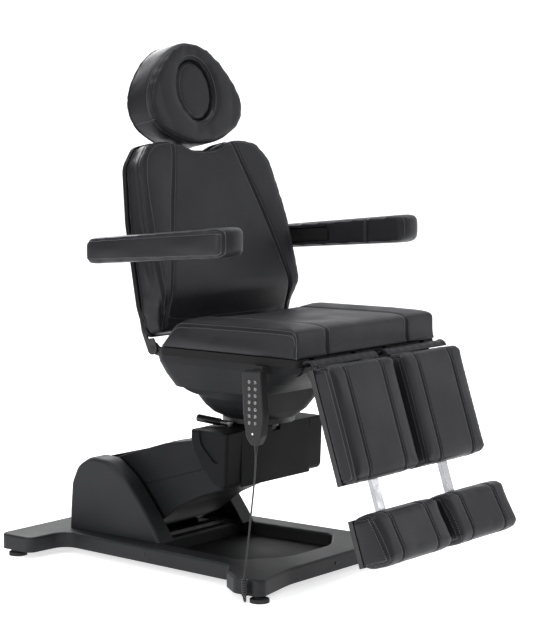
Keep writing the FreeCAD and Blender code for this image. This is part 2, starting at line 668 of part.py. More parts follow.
def make_back_frame():
    arm = fuse([prism([(-16, 0), (16, 0), (24, 50), (20, 110), (back_rear(110) + 0.3, 110),
                       (back_rear(28) + 0.3, 28), (-10, 26)], "x", 261, 267), rod_x(16, 261, 267, (0, 0))])
    arm = arm.cut(rod_x(8 + RUNNING_GAP, 200, 300, (0, 0)))
    def strip(z0, z1, x0, x1, depth=4.0):
        corners = [(back_rear(z0) + 0.3, z0), (back_rear(z1) + 0.3, z1),
                   (back_rear(z1) + depth, z1), (back_rear(z0) + depth, z0)]
        return prism(corners, "x", x0, x1)
    upright = strip(36, 420, 200, 240, 8)
    lower_tie = strip(60, 100, -267, 267, 14)
    upper_tie = strip(300, 340, -240, 240, 8)
    eye = unplaced((BACK_PIVOT[0], BACK_PIVOT[1] - BACK_CRANK), BACK_PIVOT, -BACK_LEAN)
    crank_x = (BACK_MOTOR_X - 20, BACK_MOTOR_X + 14)
    crank = []
    for x in crank_x:
        crank.append(fuse([prism([(0, 10), (22, 10), (20, 100), (back_rear(100) + 0.3, 100),
                                  (back_rear(28) + 0.3, 28), (0, 26)], "x", x, x + 6),
                           bar((10, 12), eye, 20, x, x + 6), rod_x(11, x, x + 6, eye)]))
    guide = box(-32, 32, -6, 22, 300, 430).cut(box(-20.2, 20.2, 9.8, 16.2, 290, 440))
    guide = guide.cut(prism([(-50, 290), (back_rear(290) + 0.3, 290), (back_rear(440) + 0.3, 440),
                             (-50, 440)], "x", -40, 40))
    pin = rod_x(6, crank_x[0], crank_x[1] + 6, eye)
    brackets = []
    pivot = unplaced(ARM_PIVOT, BACK_PIVOT, -BACK_LEAN)
    wing = fuse([prism([(pivot[0], pivot[1] - 16), (pivot[0], pivot[1] + 16),
                        (14, pivot[1] + 24), (14, pivot[1] - 24)], "x", 291, 297),
                 rod_x(16, 291, 297, pivot), box(238, 297, 8, 14, pivot[1] - 24, pivot[1] + 24),
                 rod_x(9, 297, ARM_INNER + 12, pivot)])
    for shape in pair(wing):
        brackets.append(shape)
    pieces = [lower_tie, upper_tie, guide, pin] + crank + brackets
    for shape in (arm, upright):
        pieces += pair(shape)
    save("back_frame", leaned(fuse(pieces), BACK_PIVOT, -BACK_LEAN))


def make_back_motor():
    eye = (BACK_PIVOT[0], BACK_PIVOT[1] - BACK_CRANK)
    way, length = along(BACK_MOTOR_ANCHOR, eye)
    bias = math.radians(-0.55)
    way = (way[0] * math.cos(bias) - way[1] * math.sin(bias), way[0] * math.sin(bias) + way[1] * math.cos(bias))
    length -= 2.9
    x = BACK_MOTOR_X
    body = fuse([rod_x(14, x - 15, x + 15, BACK_MOTOR_ANCHOR),
                 round_bar(17, BACK_MOTOR_ANCHOR, way, 10, 215, x), round_bar(20, BACK_MOTOR_ANCHOR, way, 20, 90, x)])
    body = cut(body, [rod_x(8 + RUNNING_GAP, x - 30, x + 30, BACK_MOTOR_ANCHOR),
                      round_bar(8.1, BACK_MOTOR_ANCHOR, way, 50, 230, x)])
    save("back_motor", body)
    end = (BACK_MOTOR_ANCHOR[0] + way[0] * length, BACK_MOTOR_ANCHOR[1] + way[1] * length)
    rod = fuse([round_bar(8, BACK_MOTOR_ANCHOR, way, 120, length - 14, x), rod_x(17, x - 11, x + 11, end)])
    save("back_rod", rod.cut(rod_x(12, x - 20, x + 20, end)))
    print("back motor: length %.1f, axis (%.4f, %.4f)" % (length, way[0], way[1]))


def make_armrests():
    corners = [(253, 824, 16), (-230, 862, 20), (-230, 935, 20), (252, 887, 16)]
    pad = prism(corners, "x", ARM_INNER, ARM_OUTER)
    groove = prism([(246, 838), (30, 855), (30, 893), (246, 876)], "x", ARM_INNER - 1, ARM_INNER + 12.3)
    core = prism([(244, 840), (32, 857), (32, 891), (244, 874)], "x", ARM_INNER + 0.4, ARM_INNER + 12)
    core = core.cut(rod_x(9 + RUNNING_GAP, 300, 400, ARM_PIVOT))
    for name, flip in (("left", 0), ("right", 1)):
        save("arm_pad_" + name, pair(pad.cut(groove))[flip])
        save("arm_core_" + name, pair(core)[flip])


def head_half_outline():
    return [(0, 0), (38, 0, 90), (98, 14, 60), (150, 36, 40), (178, 60, 36), (190, 93, 40), (187, 127, 60),
            (170, 160, 90), (150, 184, 90), (118, 219, 90), (80, 248, 70), (36, 269, 70), (0, 271)]


def make_headrest():
    eye = unplaced(placed(HEAD_TILT_PIVOT, HEAD_ORIGIN, -HEAD_LEAN), BACK_PIVOT, -BACK_LEAN)
    stem = fuse([box(-20, 20, 10, 16, 320, eye[1]), rod_x(9, -20, 20, eye)])
    stem = stem.cut(rod_x(5 + RUNNING_GAP, -40, 40, eye))
    tilt = placed(HEAD_TILT_PIVOT, HEAD_ORIGIN, -HEAD_LEAN)
    print("headrest tilt pivot (%.2f, %.2f)" % tilt)
    save("headrest_stem", leaned(stem, BACK_PIVOT, -BACK_LEAN))
    pivot = HEAD_TILT_PIVOT
    pad = prism(mirrored(head_half_outline()), "y", -HEAD_DEPTH, -6)
    save("headrest_cushion", head_placed(pad.cut(oval_prism(72, 86, -HEAD_DEPTH - 1, 0))))
    plug = oval_prism(70.5, 84.5, -HEAD_DEPTH + 8, -14)
    save("face_plug", head_placed(plug))
    plate = prism(mirrored([(0, 12), (60, 14, 30), (150, 62, 40), (168, 108, 40), (118, 200, 50), (60, 250, 40),
                            (0, 250)]), "y", -5.7, 0).cut(oval_prism(74, 88, -10, 5))
    lug = fuse([box(22, 28, -1, pivot[0], pivot[1] - 12, pivot[1] + 12), rod_x(10, 22, 28, pivot)])
    lug = lug.cut(rod_x(5, 0, 60, pivot))
    pin = rod_x(5, -28, 28, pivot)
    save("headrest_bracket", [head_placed(fuse([plate] + pair(lug))), head_placed(pin)])


def head_placed(shape):
    return leaned(shape, HEAD_ORIGIN, -HEAD_LEAN)


def oval_prism(half_x, half_z, y0, y1):
    """Elliptical block through the headrest, centred on the face hole."""
    long_axis = Vector(0, y0, 142 + half_z)
    ellipse = Part.Ellipse(long_axis, Vector(half_x, y0, 142), Vector(0, y0, 142))
    return Part.Face(Part.Wire(ellipse.toShape())).extrude(Vector(0, y1 - y0, 0))


# ---------------------------------------------------------------- legs and feet

def leg_placed(shape):
    return leaned(shape, LEG_PIVOT, LEG_LEAN)


def make_legs():
    cushion = prism([(-92, -8, 14), (-92, -304, 14), (-41, -304), (-41, -8)], "x", LEG_INNER, LEG_OUTER)
    plate = box(LEG_INNER + 3, LEG_OUTER - 3, -40.6, -26, -302, -12)
    slot = box(RAIL_X - 17, RAIL_X + 17, -42, -25, -310, -10)
    arms = []
    for x in (61, 237):
        arms.append(fuse([prism([(-9, 9), (9, 9), (13, -20), (-14, -120), (-30, -120), (-30, -14)], "x",
                                x, x + 6), rod_x(14, x, x + 6, (0, 0))]))
    keepers = [box(RAIL_X - 27, RAIL_X + 27, -26.5, -22.8, z, z + 30) for z in (-110, -270)]
    tabs = [box(RAIL_X - 27, RAIL_X - 17, -30, -23, z, z + 30) for z in (-110, -270)]
    frame = fuse([plate.cut(slot)] + arms + keepers + tabs)
    frame = frame.cut(rod_x(7 + RUNNING_GAP, 0, 300, (0, 0)))
    for name, flip in (("left", 0), ("right", 1)):
        save("leg_cushion_" + name, leg_placed(pair(cushion)[flip]))
        save("leg_frame_" + name, leg_placed(pair(frame)[flip]))


def make_hinge_flaps():
    centre = (-379.0, 590.0)
    ring = rod_x(20, 20, 287, centre).cut(rod_x(17, 10, 300, centre))
    upper = ring.common(box(0, 300, -420, -340, 597, 640))
    flap = upper.cut(box(0, 300, -367, -340, 560, 603))
    for name, flip in (("left", 0), ("right", 1)):
        save("hinge_flap_" + name, pair(flap)[flip])


def make_feet_rests():
    cushion = prism([(-110, -380, 12), (-134, -512, 14), (-44, -512), (-44, -384)], "x", LEG_INNER, LEG_OUTER)
    plate = box(LEG_INNER + 3, LEG_OUTER - 3, -43.6, -30, -505, -388)
    rail = box(RAIL_X - 14, RAIL_X + 14, -39.5, -27.5, -480, -78)
    slide = fuse([plate, rail])
    for name, flip in (("left", 0), ("right", 1)):
        save("foot_cushion_" + name, leg_placed(pair(cushion)[flip]))
        save("foot_slide_" + name, leg_placed(pair(slide)[flip]))


# ---------------------------------------------------------------- handset and cord

CORD_START = (-323.0, -246.0, 392.0)
CORD_POINTS = [CORD_START, (-325.0, -246.5, 336.0), (-330.0, -243.0, 274.0), (-337.0, -240.0, 212.0),
               (-345.0, -238.5, 150.0), (-353.0, -238.0, 104.0), (-361.0, -240.0, 66.0)]
COIL_START = CORD_POINTS[-1]
COIL_END = (-361.0, -243.0, 18.0)
TAIL_POINTS = [COIL_END, (-360.0, -242.0, 4.0), (-350.0, -230.0, 3.4), (-337.0, -218.0, 3.3),
               (-325.0, -207.0, 4.0), (-315.0, -198.5, 6.0)]
COIL_END_GAP = 0.8


def cord_tube(points, diameter):
    """Round tube along straight runs joined by tangent arcs as large as the runs allow."""
    knots = [Vector(*point) for point in points]
    edges = []
    last = knots[0]
    for before, here, after in zip(knots, knots[1:], knots[2:]):
        incoming = (here - before)
        outgoing = (after - here)
        reach = 0.45 * min(incoming.Length, outgoing.Length)
        turn = incoming.getAngle(outgoing)
        radius = reach / math.tan(turn / 2)
        print("cord arc radius %8.1f at (%.0f, %.0f, %.0f)" % (radius, here.x, here.y, here.z))
        start = here - incoming.normalize() * reach
        end = here + outgoing.normalize() * reach
        bisector = (start + end) * 0.5 - here
        to_centre = math.hypot(radius, reach)
        middle = here + bisector.normalize() * (to_centre - radius)
        edges.append(Part.LineSegment(last, start).toShape())
        edges.append(Part.Arc(start, middle, end).toShape())
        last = end
    edges.append(Part.LineSegment(last, knots[-1]).toShape())
    path = Part.Wire(edges)
    way = (knots[1] - knots[0]).normalize()
    section = Part.Wire(Part.Circle(knots[0], way, diameter / 2).toShape())
    tube = path.makePipeShell([section], True, True)
    expected = math.pi * diameter ** 2 / 4 * path.Length
    print("cord length %.1f, volume %.0f of %.0f" % (path.Length, tube.Volume, expected))
    return tube


def make_cord():
    straight = cord_tube(CORD_POINTS, CORD_DIAMETER)
    tail = cord_tube(TAIL_POINTS, CORD_DIAMETER)
    save("handset_cord", [straight, tail])
    start, end = Vector(*COIL_START), Vector(*COIL_END)
    way = (end - start).normalize()
    coil = Part.makeCylinder(COIL_DIAMETER / 2, (end - start).Length - 2 * COIL_END_GAP,
                             start + way * COIL_END_GAP, way)
    save("cord_coil", coil)
    last, before = Vector(*TAIL_POINTS[-1]), Vector(*TAIL_POINTS[-2])
    way = (last - before).normalize()
    save("cord_plug", Part.makeCylinder(4.6, 14, last, way))
    face = last + way * 14.4
    socket = Part.makeCylinder(7, 12, face, way)
    tab = box(face.x + 1, face.x + 11, face.y - 2, face.y + 12, face.z, FRAME_LOW)
    save("cord_socket", fuse([socket, tab]))


def handset_corners():
    return [(-209, 578, 8), (-269, 580, 8), (-278, 470, 120), (-271, 418, 30), (-258, 393, 14), (-238, 393, 14),
            (-222, 412, 30), (-213, 470, 120)]


def make_handset():
    x0, x1 = HANDSET_X
    body = prism(handset_corners(), "x", x0, x1)
    body = round_edges(body, 5, lambda e: flat_at("x", x0)(e))
    pads = [Part.makeCylinder(4.6, 1.6, Vector(x0 + 0.6, -254 + 19 * column, 552 - 17 * row), Vector(-1, 0, 0))
            for column in range(2) for row in range(7)]
    recess = [Part.makeCylinder(4.9, 1.8, Vector(x0 + 0.6, -254 + 19 * column, 552 - 17 * row), Vector(-1, 0, 0))
              for column in range(2) for row in range(7)]
    slot = box(x1 - 5.5, x1 + 1, -252, -232, 515, 566.3)
    save("handset_shell", cut(body, recess + [slot]))
    save("handset_keypad", pads)


os.makedirs("parts", exist_ok=True)
make_base_covers()
make_base_frame()
make_levelling_feet()
make_hump_covers()
make_pivot_bracket()
make_base_electrics()
make_cover_screws()
make_lift_arm()
make_lift_covers()
make_lower_link()
make_lift_motor()
make_head_frame()
make_head_covers()
make_lock_lever()
make_turntable()
make_seat_pan()
make_seat_frame()
make_seat_board()
make_seat_cushion()
make_handset_hook()
make_backrest()
make_back_frame()
make_back_motor()
make_armrests()
make_headrest()
make_legs()
make_hinge_flaps()
make_feet_rests()
make_cord()
make_handset()
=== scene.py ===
import json
import math

import bmesh
import bpy
import numpy as np
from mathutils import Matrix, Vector
from mathutils.bvhtree import BVHTree
from mathutils.kdtree import KDTree

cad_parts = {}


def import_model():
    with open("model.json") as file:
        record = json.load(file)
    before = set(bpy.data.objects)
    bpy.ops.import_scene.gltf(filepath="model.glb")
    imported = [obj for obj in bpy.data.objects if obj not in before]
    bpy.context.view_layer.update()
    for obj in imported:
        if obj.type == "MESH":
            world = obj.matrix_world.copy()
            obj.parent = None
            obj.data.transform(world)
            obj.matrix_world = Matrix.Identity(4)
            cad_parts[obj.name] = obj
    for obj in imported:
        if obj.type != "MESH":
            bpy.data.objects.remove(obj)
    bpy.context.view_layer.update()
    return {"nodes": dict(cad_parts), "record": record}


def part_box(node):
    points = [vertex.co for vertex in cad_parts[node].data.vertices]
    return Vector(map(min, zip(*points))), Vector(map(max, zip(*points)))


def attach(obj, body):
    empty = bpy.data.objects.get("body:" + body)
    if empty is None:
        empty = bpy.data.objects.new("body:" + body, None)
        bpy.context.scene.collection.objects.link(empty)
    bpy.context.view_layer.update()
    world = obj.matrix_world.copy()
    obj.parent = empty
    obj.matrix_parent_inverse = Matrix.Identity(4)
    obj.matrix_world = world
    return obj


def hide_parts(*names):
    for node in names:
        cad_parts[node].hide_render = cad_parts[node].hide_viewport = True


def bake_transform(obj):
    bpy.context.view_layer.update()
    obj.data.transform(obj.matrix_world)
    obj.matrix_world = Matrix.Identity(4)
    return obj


# Facial treatment bed: the looks, in metres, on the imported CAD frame.
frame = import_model()
record = frame["record"]
NODES = frame["nodes"]
scene = bpy.context.scene

# Where the sloping parts hang, as in the CAD: pivot (y, z) and lean in degrees.
BACK = ((0.152, 0.598), -15.06)
HEAD = ((0.293, 1.1147), -11.5)
LEG = ((-0.352, 0.588), -18.2)
LEVEL = ((0.0, 0.0), 0.0)
FACE_HOLE = (0.072, 0.086, 0.142)
LEG_X = (0.0155, 0.289)

CORD_POINTS = [(-0.323, -0.246, 0.392), (-0.325, -0.2465, 0.336), (-0.330, -0.243, 0.274),
               (-0.337, -0.240, 0.212), (-0.345, -0.2385, 0.150), (-0.353, -0.238, 0.104),
               (-0.361, -0.240, 0.066)]
TAIL_POINTS = [(-0.361, -0.243, 0.018), (-0.360, -0.242, 0.004), (-0.350, -0.230, 0.0034),
               (-0.337, -0.218, 0.0033), (-0.325, -0.207, 0.004), (-0.315, -0.1985, 0.006)]
CORD_DIAMETER = 0.0045
COIL_DIAMETER = 0.018
COIL_TURNS = 8


# ---------------------------------------------------------------- camera

def aim(obj, target):
    obj.rotation_euler = (Vector(target) - obj.location).to_track_quat("-Z", "Y").to_euler()


camera = bpy.data.objects.new("camera", bpy.data.cameras.new("camera"))
scene.collection.objects.link(camera)
camera.location = (-3.9555, -3.2398, 1.2118)
aim(camera, (-0.066, -0.104, 0.688))
camera.data.lens = 110.4
camera.data.sensor_width = 36
camera.data.clip_end = 50
scene.camera = camera


# ---------------------------------------------------------------- materials

class Shader:
    """A material built on the principled shader, with short calls for adding nodes."""

    def __init__(self, name, color, roughness, metallic=0.0, specular=0.5):
        self.material = bpy.data.materials.new(name)
        self.material.use_nodes = True
        self.tree = self.material.node_tree
        self.main = self.tree.nodes["Principled BSDF"]
        self.main.inputs["Base Color"].default_value = (*color, 1)
        self.main.inputs["Roughness"].default_value = roughness
        self.main.inputs["Metallic"].default_value = metallic
        self.main.inputs["Specular IOR Level"].default_value = specular
        self.normal = None

    def node(self, kind, **values):
        made = self.tree.nodes.new(kind)
        for key, value in values.items():
            if key in made.inputs:
                made.inputs[key].default_value = value
            else:
                setattr(made, key, value)
        return made

    def link(self, a, b):
        self.tree.links.new(a, b)

    def soften(self, radius):
        """Round the look of sharp edges."""
        bevel = self.node("ShaderNodeBevel", samples=4, Radius=radius)
        self.normal = bevel.outputs["Normal"]
        self.link(self.normal, self.main.inputs["Normal"])

    def bump(self, source, strength, distance):
        made = self.node("ShaderNodeBump", Strength=strength, Distance=distance)
        self.link(source, made.inputs["Height"])
        if self.normal:
            self.link(self.normal, made.inputs["Normal"])
        self.normal = made.outputs["Normal"]
        self.link(self.normal, self.main.inputs["Normal"])

    def place(self):
        return self.node("ShaderNodeTexCoord").outputs["Object"]

    def noise(self, scale, detail=3.0):
        made = self.node("ShaderNodeTexNoise", Scale=scale, Detail=detail)
        self.link(self.place(), made.inputs["Vector"])
        return made.outputs["Fac"]

    def cells(self, scale):
        made = self.node("ShaderNodeTexVoronoi", Scale=scale)
        self.link(self.place(), made.inputs["Vector"])
        return made.outputs["Distance"]

    def vary(self, socket, source, low, high):
        """Let a value wander softly between two limits."""
        made = self.node("ShaderNodeMapRange")
        made.inputs["From Min"].default_value = 0.35
        made.inputs["From Max"].default_value = 0.65
        made.inputs["To Min"].default_value = low
        made.inputs["To Max"].default_value = high
        self.link(source, made.inputs["Value"])
        self.link(made.outputs["Result"], self.main.inputs[socket])


def leather(name, color):
    made = Shader(name, color, 0.48, specular=0.25)
    made.vary("Roughness", made.noise(9, 4), 0.40, 0.52)
    made.bump(made.noise(14, 2), 0.18, 0.006)
    made.bump(made.cells(620), 0.22, 0.0006)
    made.bump(made.noise(1500, 2), 0.10, 0.0004)
    return made.material


def plastic(name, color, roughness, edge=0.0015, specular=0.30):
    made = Shader(name, color, roughness, specular=specular)
    made.soften(edge)
    made.bump(made.noise(1300, 2), 0.22, 0.0004)
    made.vary("Roughness", made.noise(6, 3), roughness - 0.04, roughness + 0.05)
    return made.material


def metal(name, color, roughness, edge=0.0008, metallic=1.0):
    made = Shader(name, color, roughness, metallic=metallic)
    made.soften(edge)
    made.vary("Roughness", made.noise(40, 4), roughness * 0.8, roughness * 1.25)
    return made.material


def wood(name):
    made = Shader(name, (0.008, 0.0078, 0.008), 0.7, specular=0.2)
    stretch = made.node("ShaderNodeMapping")
    stretch.inputs["Scale"].default_value = (6, 90, 90)
    made.link(made.place(), stretch.inputs["Vector"])
    grain = made.node("ShaderNodeTexNoise", Scale=1.0, Detail=5.0)
    made.link(stretch.outputs["Vector"], grain.inputs["Vector"])
    made.bump(grain.outputs["Fac"], 0.3, 0.0006)
    return made.material


def plain(name, color, roughness, specular=0.5):
    made = Shader(name, color, roughness, specular=specular)
    made.vary("Roughness", made.noise(60, 2), roughness * 0.9, min(1.0, roughness * 1.1))
    return made.material


MATERIALS = {
    "cushion_leather": leather("cushion_leather", (0.0105, 0.0105, 0.0130)),
    "cover_plastic": plastic("cover_plastic", (0.0105, 0.0110, 0.0125), 0.52, 0.002),
    "device_plastic": plastic("device_plastic", (0.012, 0.012, 0.013), 0.45, 0.001),
    "steel_frame": metal("steel_frame", (0.012, 0.012, 0.013), 0.45, metallic=0.0),
    "leg_steel": metal("leg_steel", (0.012, 0.012, 0.013), 0.45, metallic=0.0),
    "zinc_steel": metal("zinc_steel", (0.45, 0.45, 0.47), 0.35),
    "chrome_steel": metal("chrome_steel", (0.33, 0.335, 0.35), 0.26),
    "gloss_grip": plain("gloss_grip", (0.008, 0.008, 0.008), 0.12),
    "foot_rubber": plain("foot_rubber", (0.014, 0.014, 0.014), 0.75),
    "cord_jacket": plain("cord_jacket", (0.012, 0.012, 0.013), 0.38),
    "key_black": plain("key_black", (0.014, 0.014, 0.015), 0.4),
    "board": wood("board"),
}
# Thread colour lightened so the seams show as thin light lines: painted highlight.
THREAD_PAINTED_HIGHLIGHT = plain("thread", (0.17, 0.17, 0.185), 0.6)
# Darker copies of the cover plastic, with the shade under and around the chair painted into their colour.
DEEP_PAINTED_SHADE = plastic("cover_plastic_deep_painted_shade", (0.0055, 0.0058, 0.0066), 0.60, 0.002, specular=0.12)
MILD_PAINTED_SHADE = plastic("cover_plastic_mild_painted_shade", (0.008, 0.0084, 0.0095), 0.55, 0.002, specular=0.19)
DULL_STEEL = metal("dull_steel", (0.05, 0.05, 0.052), 0.42)
PRINT = plain("print_white", (0.72, 0.72, 0.72), 0.6)

SLOT_OF = {part["node"]: part["material_slot"] for part in record["subparts"]}


def dress(obj, slot, material=None):
    obj.data.materials.clear()
    obj.data.materials.append(material or MATERIALS[slot])
    return obj


# Painted shade: pieces in the chair's shade get darker copies of their slot's plastic, with the shade painted into
# their colour, and small fixings are dull.
PAINTED_SHADE_AND_DULL_FIXINGS = {"head_caps": DEEP_PAINTED_SHADE, "head_front_cover": DEEP_PAINTED_SHADE, "base_tray": DEEP_PAINTED_SHADE,
           "seat_pan": MILD_PAINTED_SHADE, "lift_covers": MILD_PAINTED_SHADE, "turret_bowl": MILD_PAINTED_SHADE,
           "cover_screws": DULL_STEEL, "seat_hinge_pins": DULL_STEEL}


for node, obj in NODES.items():
    dress(obj, SLOT_OF[node], PAINTED_SHADE_AND_DULL_FIXINGS.get(node))
    if obj.data.has_custom_normals:
        continue
    obj.data.shade_smooth()
    obj.data.set_sharp_from_angle(angle=math.radians(28))


# ---------------------------------------------------------------- mesh helpers

def new_mesh(name, points, faces):
    data = bpy.data.meshes.new(name)
    data.from_pydata([tuple(p) for p in points], [], faces)
    data.update()
    obj = bpy.data.objects.new(name, data)
    scene.collection.objects.link(obj)
    return obj


def smooth(obj):
    obj.data.shade_smooth()
    return obj


def world(points, where):
    """Row-frame points from upright (x, y, z) points of a part that leans about its pivot."""
    (py, pz), lean = where
    c, s = math.cos(math.radians(lean)), math.sin(math.radians(lean))
    p = np.asarray(points, float).reshape(-1, 3)
    return np.column_stack([p[:, 0], py + p[:, 1] * c - p[:, 2] * s, pz + p[:, 1] * s + p[:, 2] * c])


def upright(points, where):
    (py, pz), lean = where
    c, s = math.cos(math.radians(lean)), math.sin(math.radians(lean))
    p = np.asarray(points, float).reshape(-1, 3)
    y, z = p[:, 1] - py, p[:, 2] - pz
    return np.column_stack([p[:, 0], y * c + z * s, -y * s + z * c])


def resample(points, step, closed=False):
    """Evenly spaced points along a polyline."""
    p = np.asarray(points, float)
    if closed:
        p = np.vstack([p, p[:1]])
    lengths = np.linalg.norm(np.diff(p, axis=0), axis=1)
    along = np.concatenate([[0], np.cumsum(lengths)])
    count = max(2, int(round(along[-1] / step)) + 1)
    at = np.linspace(0, along[-1], count)
    out = np.column_stack([np.interp(at, along, p[:, k]) for k in range(p.shape[1])])
    return out[:-1] if closed else out


def rounded(points, closed=False, passes=3):
    """Corner cutting, so that a coarse outline reads as a smooth curve."""
    p = np.asarray(points, float)
    for _ in range(passes):
        following = np.roll(p, -1, axis=0) if closed else p[1:]
        here = p if closed else p[:-1]
        cut = np.empty((2 * len(here), p.shape[1]))
        cut[0::2] = 0.75 * here + 0.25 * following
        cut[1::2] = 0.25 * here + 0.75 * following
        p = cut if closed else np.vstack([p[:1], cut, p[-1:]])
    return p


def blacken_plate(obj):
    """The plate under a foot pad is painted, and only its rail is chromed."""
    obj.data.materials.append(MATERIALS["leg_steel"])
    centres = upright([tuple(obj.matrix_world @ face.center) for face in obj.data.polygons], LEG)
    for face, centre in zip(obj.data.polygons, centres):
        if centre[2] < -0.386:
            face.material_index = 1


for side in ("left", "right"):
    blacken_plate(NODES["foot_slide_" + side])


def tree_of(obj):
    data = obj.data
    points = [v.co.copy() for v in data.vertices]
    return BVHTree.FromPolygons(points, [tuple(f.vertices) for f in data.polygons])


def onto(tree, points):
    """Nearest surface points and their normals."""
    places, normals = [], []
    for point in points:
        place, normal, _, _ = tree.find_nearest(Vector(point))
        places.append(place)
        normals.append(normal)
    return np.array(places), np.array(normals)


def mirrored(obj, name):
    data = obj.data.copy()
    copy = bpy.data.objects.new(name, data)
    scene.collection.objects.link(copy)
    for v in data.vertices:
        v.co.x = -v.co.x
    data.flip_normals()
    data.update()
    return copy


# ---------------------------------------------------------------- cushions

VOXEL = 0.0058


def start_cushion(name, node, where, shrink, flat):
    """A remeshed copy of a soft CAD solid, a little smaller, with its backed faces pinned."""
    source = NODES[node]
    obj = bpy.data.objects.new(name, source.data.copy())
    scene.collection.objects.link(obj)
    dress(obj, "cushion_leather")
    data = obj.data
    p = upright([v.co[:] for v in data.vertices], where)
    low, high = p.min(axis=0), p.max(axis=0)
    for axis in range(3):
        lo_in, hi_in = shrink[axis]
        span = high[axis] - low[axis]
        p[:, axis] = low[axis] + lo_in + (p[:, axis] - low[axis]) * (span - lo_in - hi_in) / span
    data.vertices.foreach_set("co", world(p, where).astype(np.float32).ravel())
    work = bmesh.new()
    work.from_mesh(data)
    bmesh.ops.remove_doubles(work, verts=work.verts, dist=1e-5)
    work.to_mesh(data)
    work.free()
    remesh = obj.modifiers.new("remesh", "REMESH")
    remesh.mode = "VOXEL"
    remesh.voxel_size = VOXEL
    apply_modifiers(obj)
    p = upright([v.co[:] for v in obj.data.vertices], where)
    low, high = p.min(axis=0), p.max(axis=0)
    axis, side = flat
    level = low[axis] if side < 0 else high[axis]
    held = [int(i) for i in np.nonzero(np.abs(p[:, axis] - level) < VOXEL * 0.7)[0]]
    group = obj.vertex_groups.new(name="held")
    group.add(held, 1.0, "REPLACE")
    return obj


def relax(obj, times):
    """Ease out the small creases that swelling leaves."""
    ease = obj.modifiers.new("ease", "SMOOTH")
    ease.factor = 0.5
    ease.iterations = times
    ease.vertex_group = "held"
    ease.invert_vertex_group = True
    apply_modifiers(obj)


def apply_modifiers(obj):
    bpy.context.view_layer.update()
    shown = obj.evaluated_get(bpy.context.evaluated_depsgraph_get())
    data = bpy.data.meshes.new_from_object(shown)
    obj.modifiers.clear()
    obj.data = data


def inflate(pads):
    """Let all the pads swell together under a little air pressure, then keep the shapes."""
    before = {}
    for obj, cap in pads:
        before[obj.name] = np.array([v.co[:] for v in obj.data.vertices])
        cloth = obj.modifiers.new("cloth", "CLOTH")
        cloth.settings.effector_weights.gravity = 0
        cloth.settings.use_pressure = True
        cloth.settings.uniform_pressure_force = 4
        cloth.settings.vertex_group_mass = "held"
        cloth.settings.quality = 4
        cloth.collision_settings.use_collision = False
    for number in range(1, 21):
        scene.frame_set(number)
    for obj, cap in pads:
        apply_modifiers(obj)
        old = before[obj.name]
        new = np.array([v.co[:] for v in obj.data.vertices])
        move = new - old
        size = np.linalg.norm(move, axis=1, keepdims=True)
        move *= np.minimum(1.0, cap / np.maximum(size, 1e-9))
        obj.data.vertices.foreach_set("co", (old + move).astype(np.float32).ravel())
        obj.data.update()
        relax(obj, 10)
    scene.frame_set(1)


def finish_cushion(obj, grooves, crown=None):
    """One subdivision, then sewn channels pressed into the surface along their lines."""
    sub = obj.modifiers.new("sub", "SUBSURF")
    sub.levels = sub.render_levels = 1
    apply_modifiers(obj)
    data = obj.data
    count = len(data.vertices)
    co = np.empty(count * 3, np.float32)
    data.vertices.foreach_get("co", co)
    co = co.reshape(-1, 3).astype(float)
    if crown is not None:
        co = crown(co)
        data.vertices.foreach_set("co", co.astype(np.float32).ravel())
        data.update()
    normals = np.empty(count * 3, np.float32)
    data.vertex_normals.foreach_get("vector", normals)
    normals = normals.reshape(-1, 3)
    surface = tree_of(obj)
    push = np.zeros(count)
    for line, depth, width in grooves:
        fine, _ = onto(surface, resample(line, 0.002))
        kd = KDTree(len(fine))
        for index, point in enumerate(fine):
            kd.insert(point, index)
        kd.balance()
        reach = width * 2.6
        lo, hi = fine.min(axis=0) - reach, fine.max(axis=0) + reach
        near = np.nonzero(np.all((co > lo) & (co < hi), axis=1))[0]
        for index in near:
            distance = kd.find(co[index])[2]
            if distance < reach:
                push[index] = max(push[index], depth * math.exp(-(distance / width) ** 2))
    co -= normals * push[:, None]
    data.vertices.foreach_set("co", co.astype(np.float32).ravel())
    data.update()
    data.shade_smooth()
    return tree_of(obj)


def tube(name, line, radius, closed=False, sides=8):
    """Round welt along a line of points."""
    line = np.asarray(line, float)
    count = len(line)
    if closed:
        tangent = np.roll(line, -1, axis=0) - np.roll(line, 1, axis=0)
    else:
        tangent = np.gradient(line, axis=0)
    tangent /= np.linalg.norm(tangent, axis=1, keepdims=True)
    side = np.cross(tangent[0], [0.3, 0.2, 0.93])
    points, faces = [], []
    for k in range(count):
        side -= tangent[k] * side.dot(tangent[k])
        side /= np.linalg.norm(side)
        other = np.cross(tangent[k], side)
        for j in range(sides):
            turn = 2 * math.pi * j / sides
            points.append(line[k] + radius * (side * math.cos(turn) + other * math.sin(turn)))
    for k in range(count if closed else count - 1):
        following = (k + 1) % count
        for j in range(sides):
            nj = (j + 1) % sides
            faces.append((k * sides + j, following * sides + j, following * sides + nj, k * sides + nj))
    if not closed:
        faces.append(tuple(range(sides)))
        faces.append(tuple((count - 1) * sides + j for j in reversed(range(sides))))
    return smooth(new_mesh(name, points, faces))


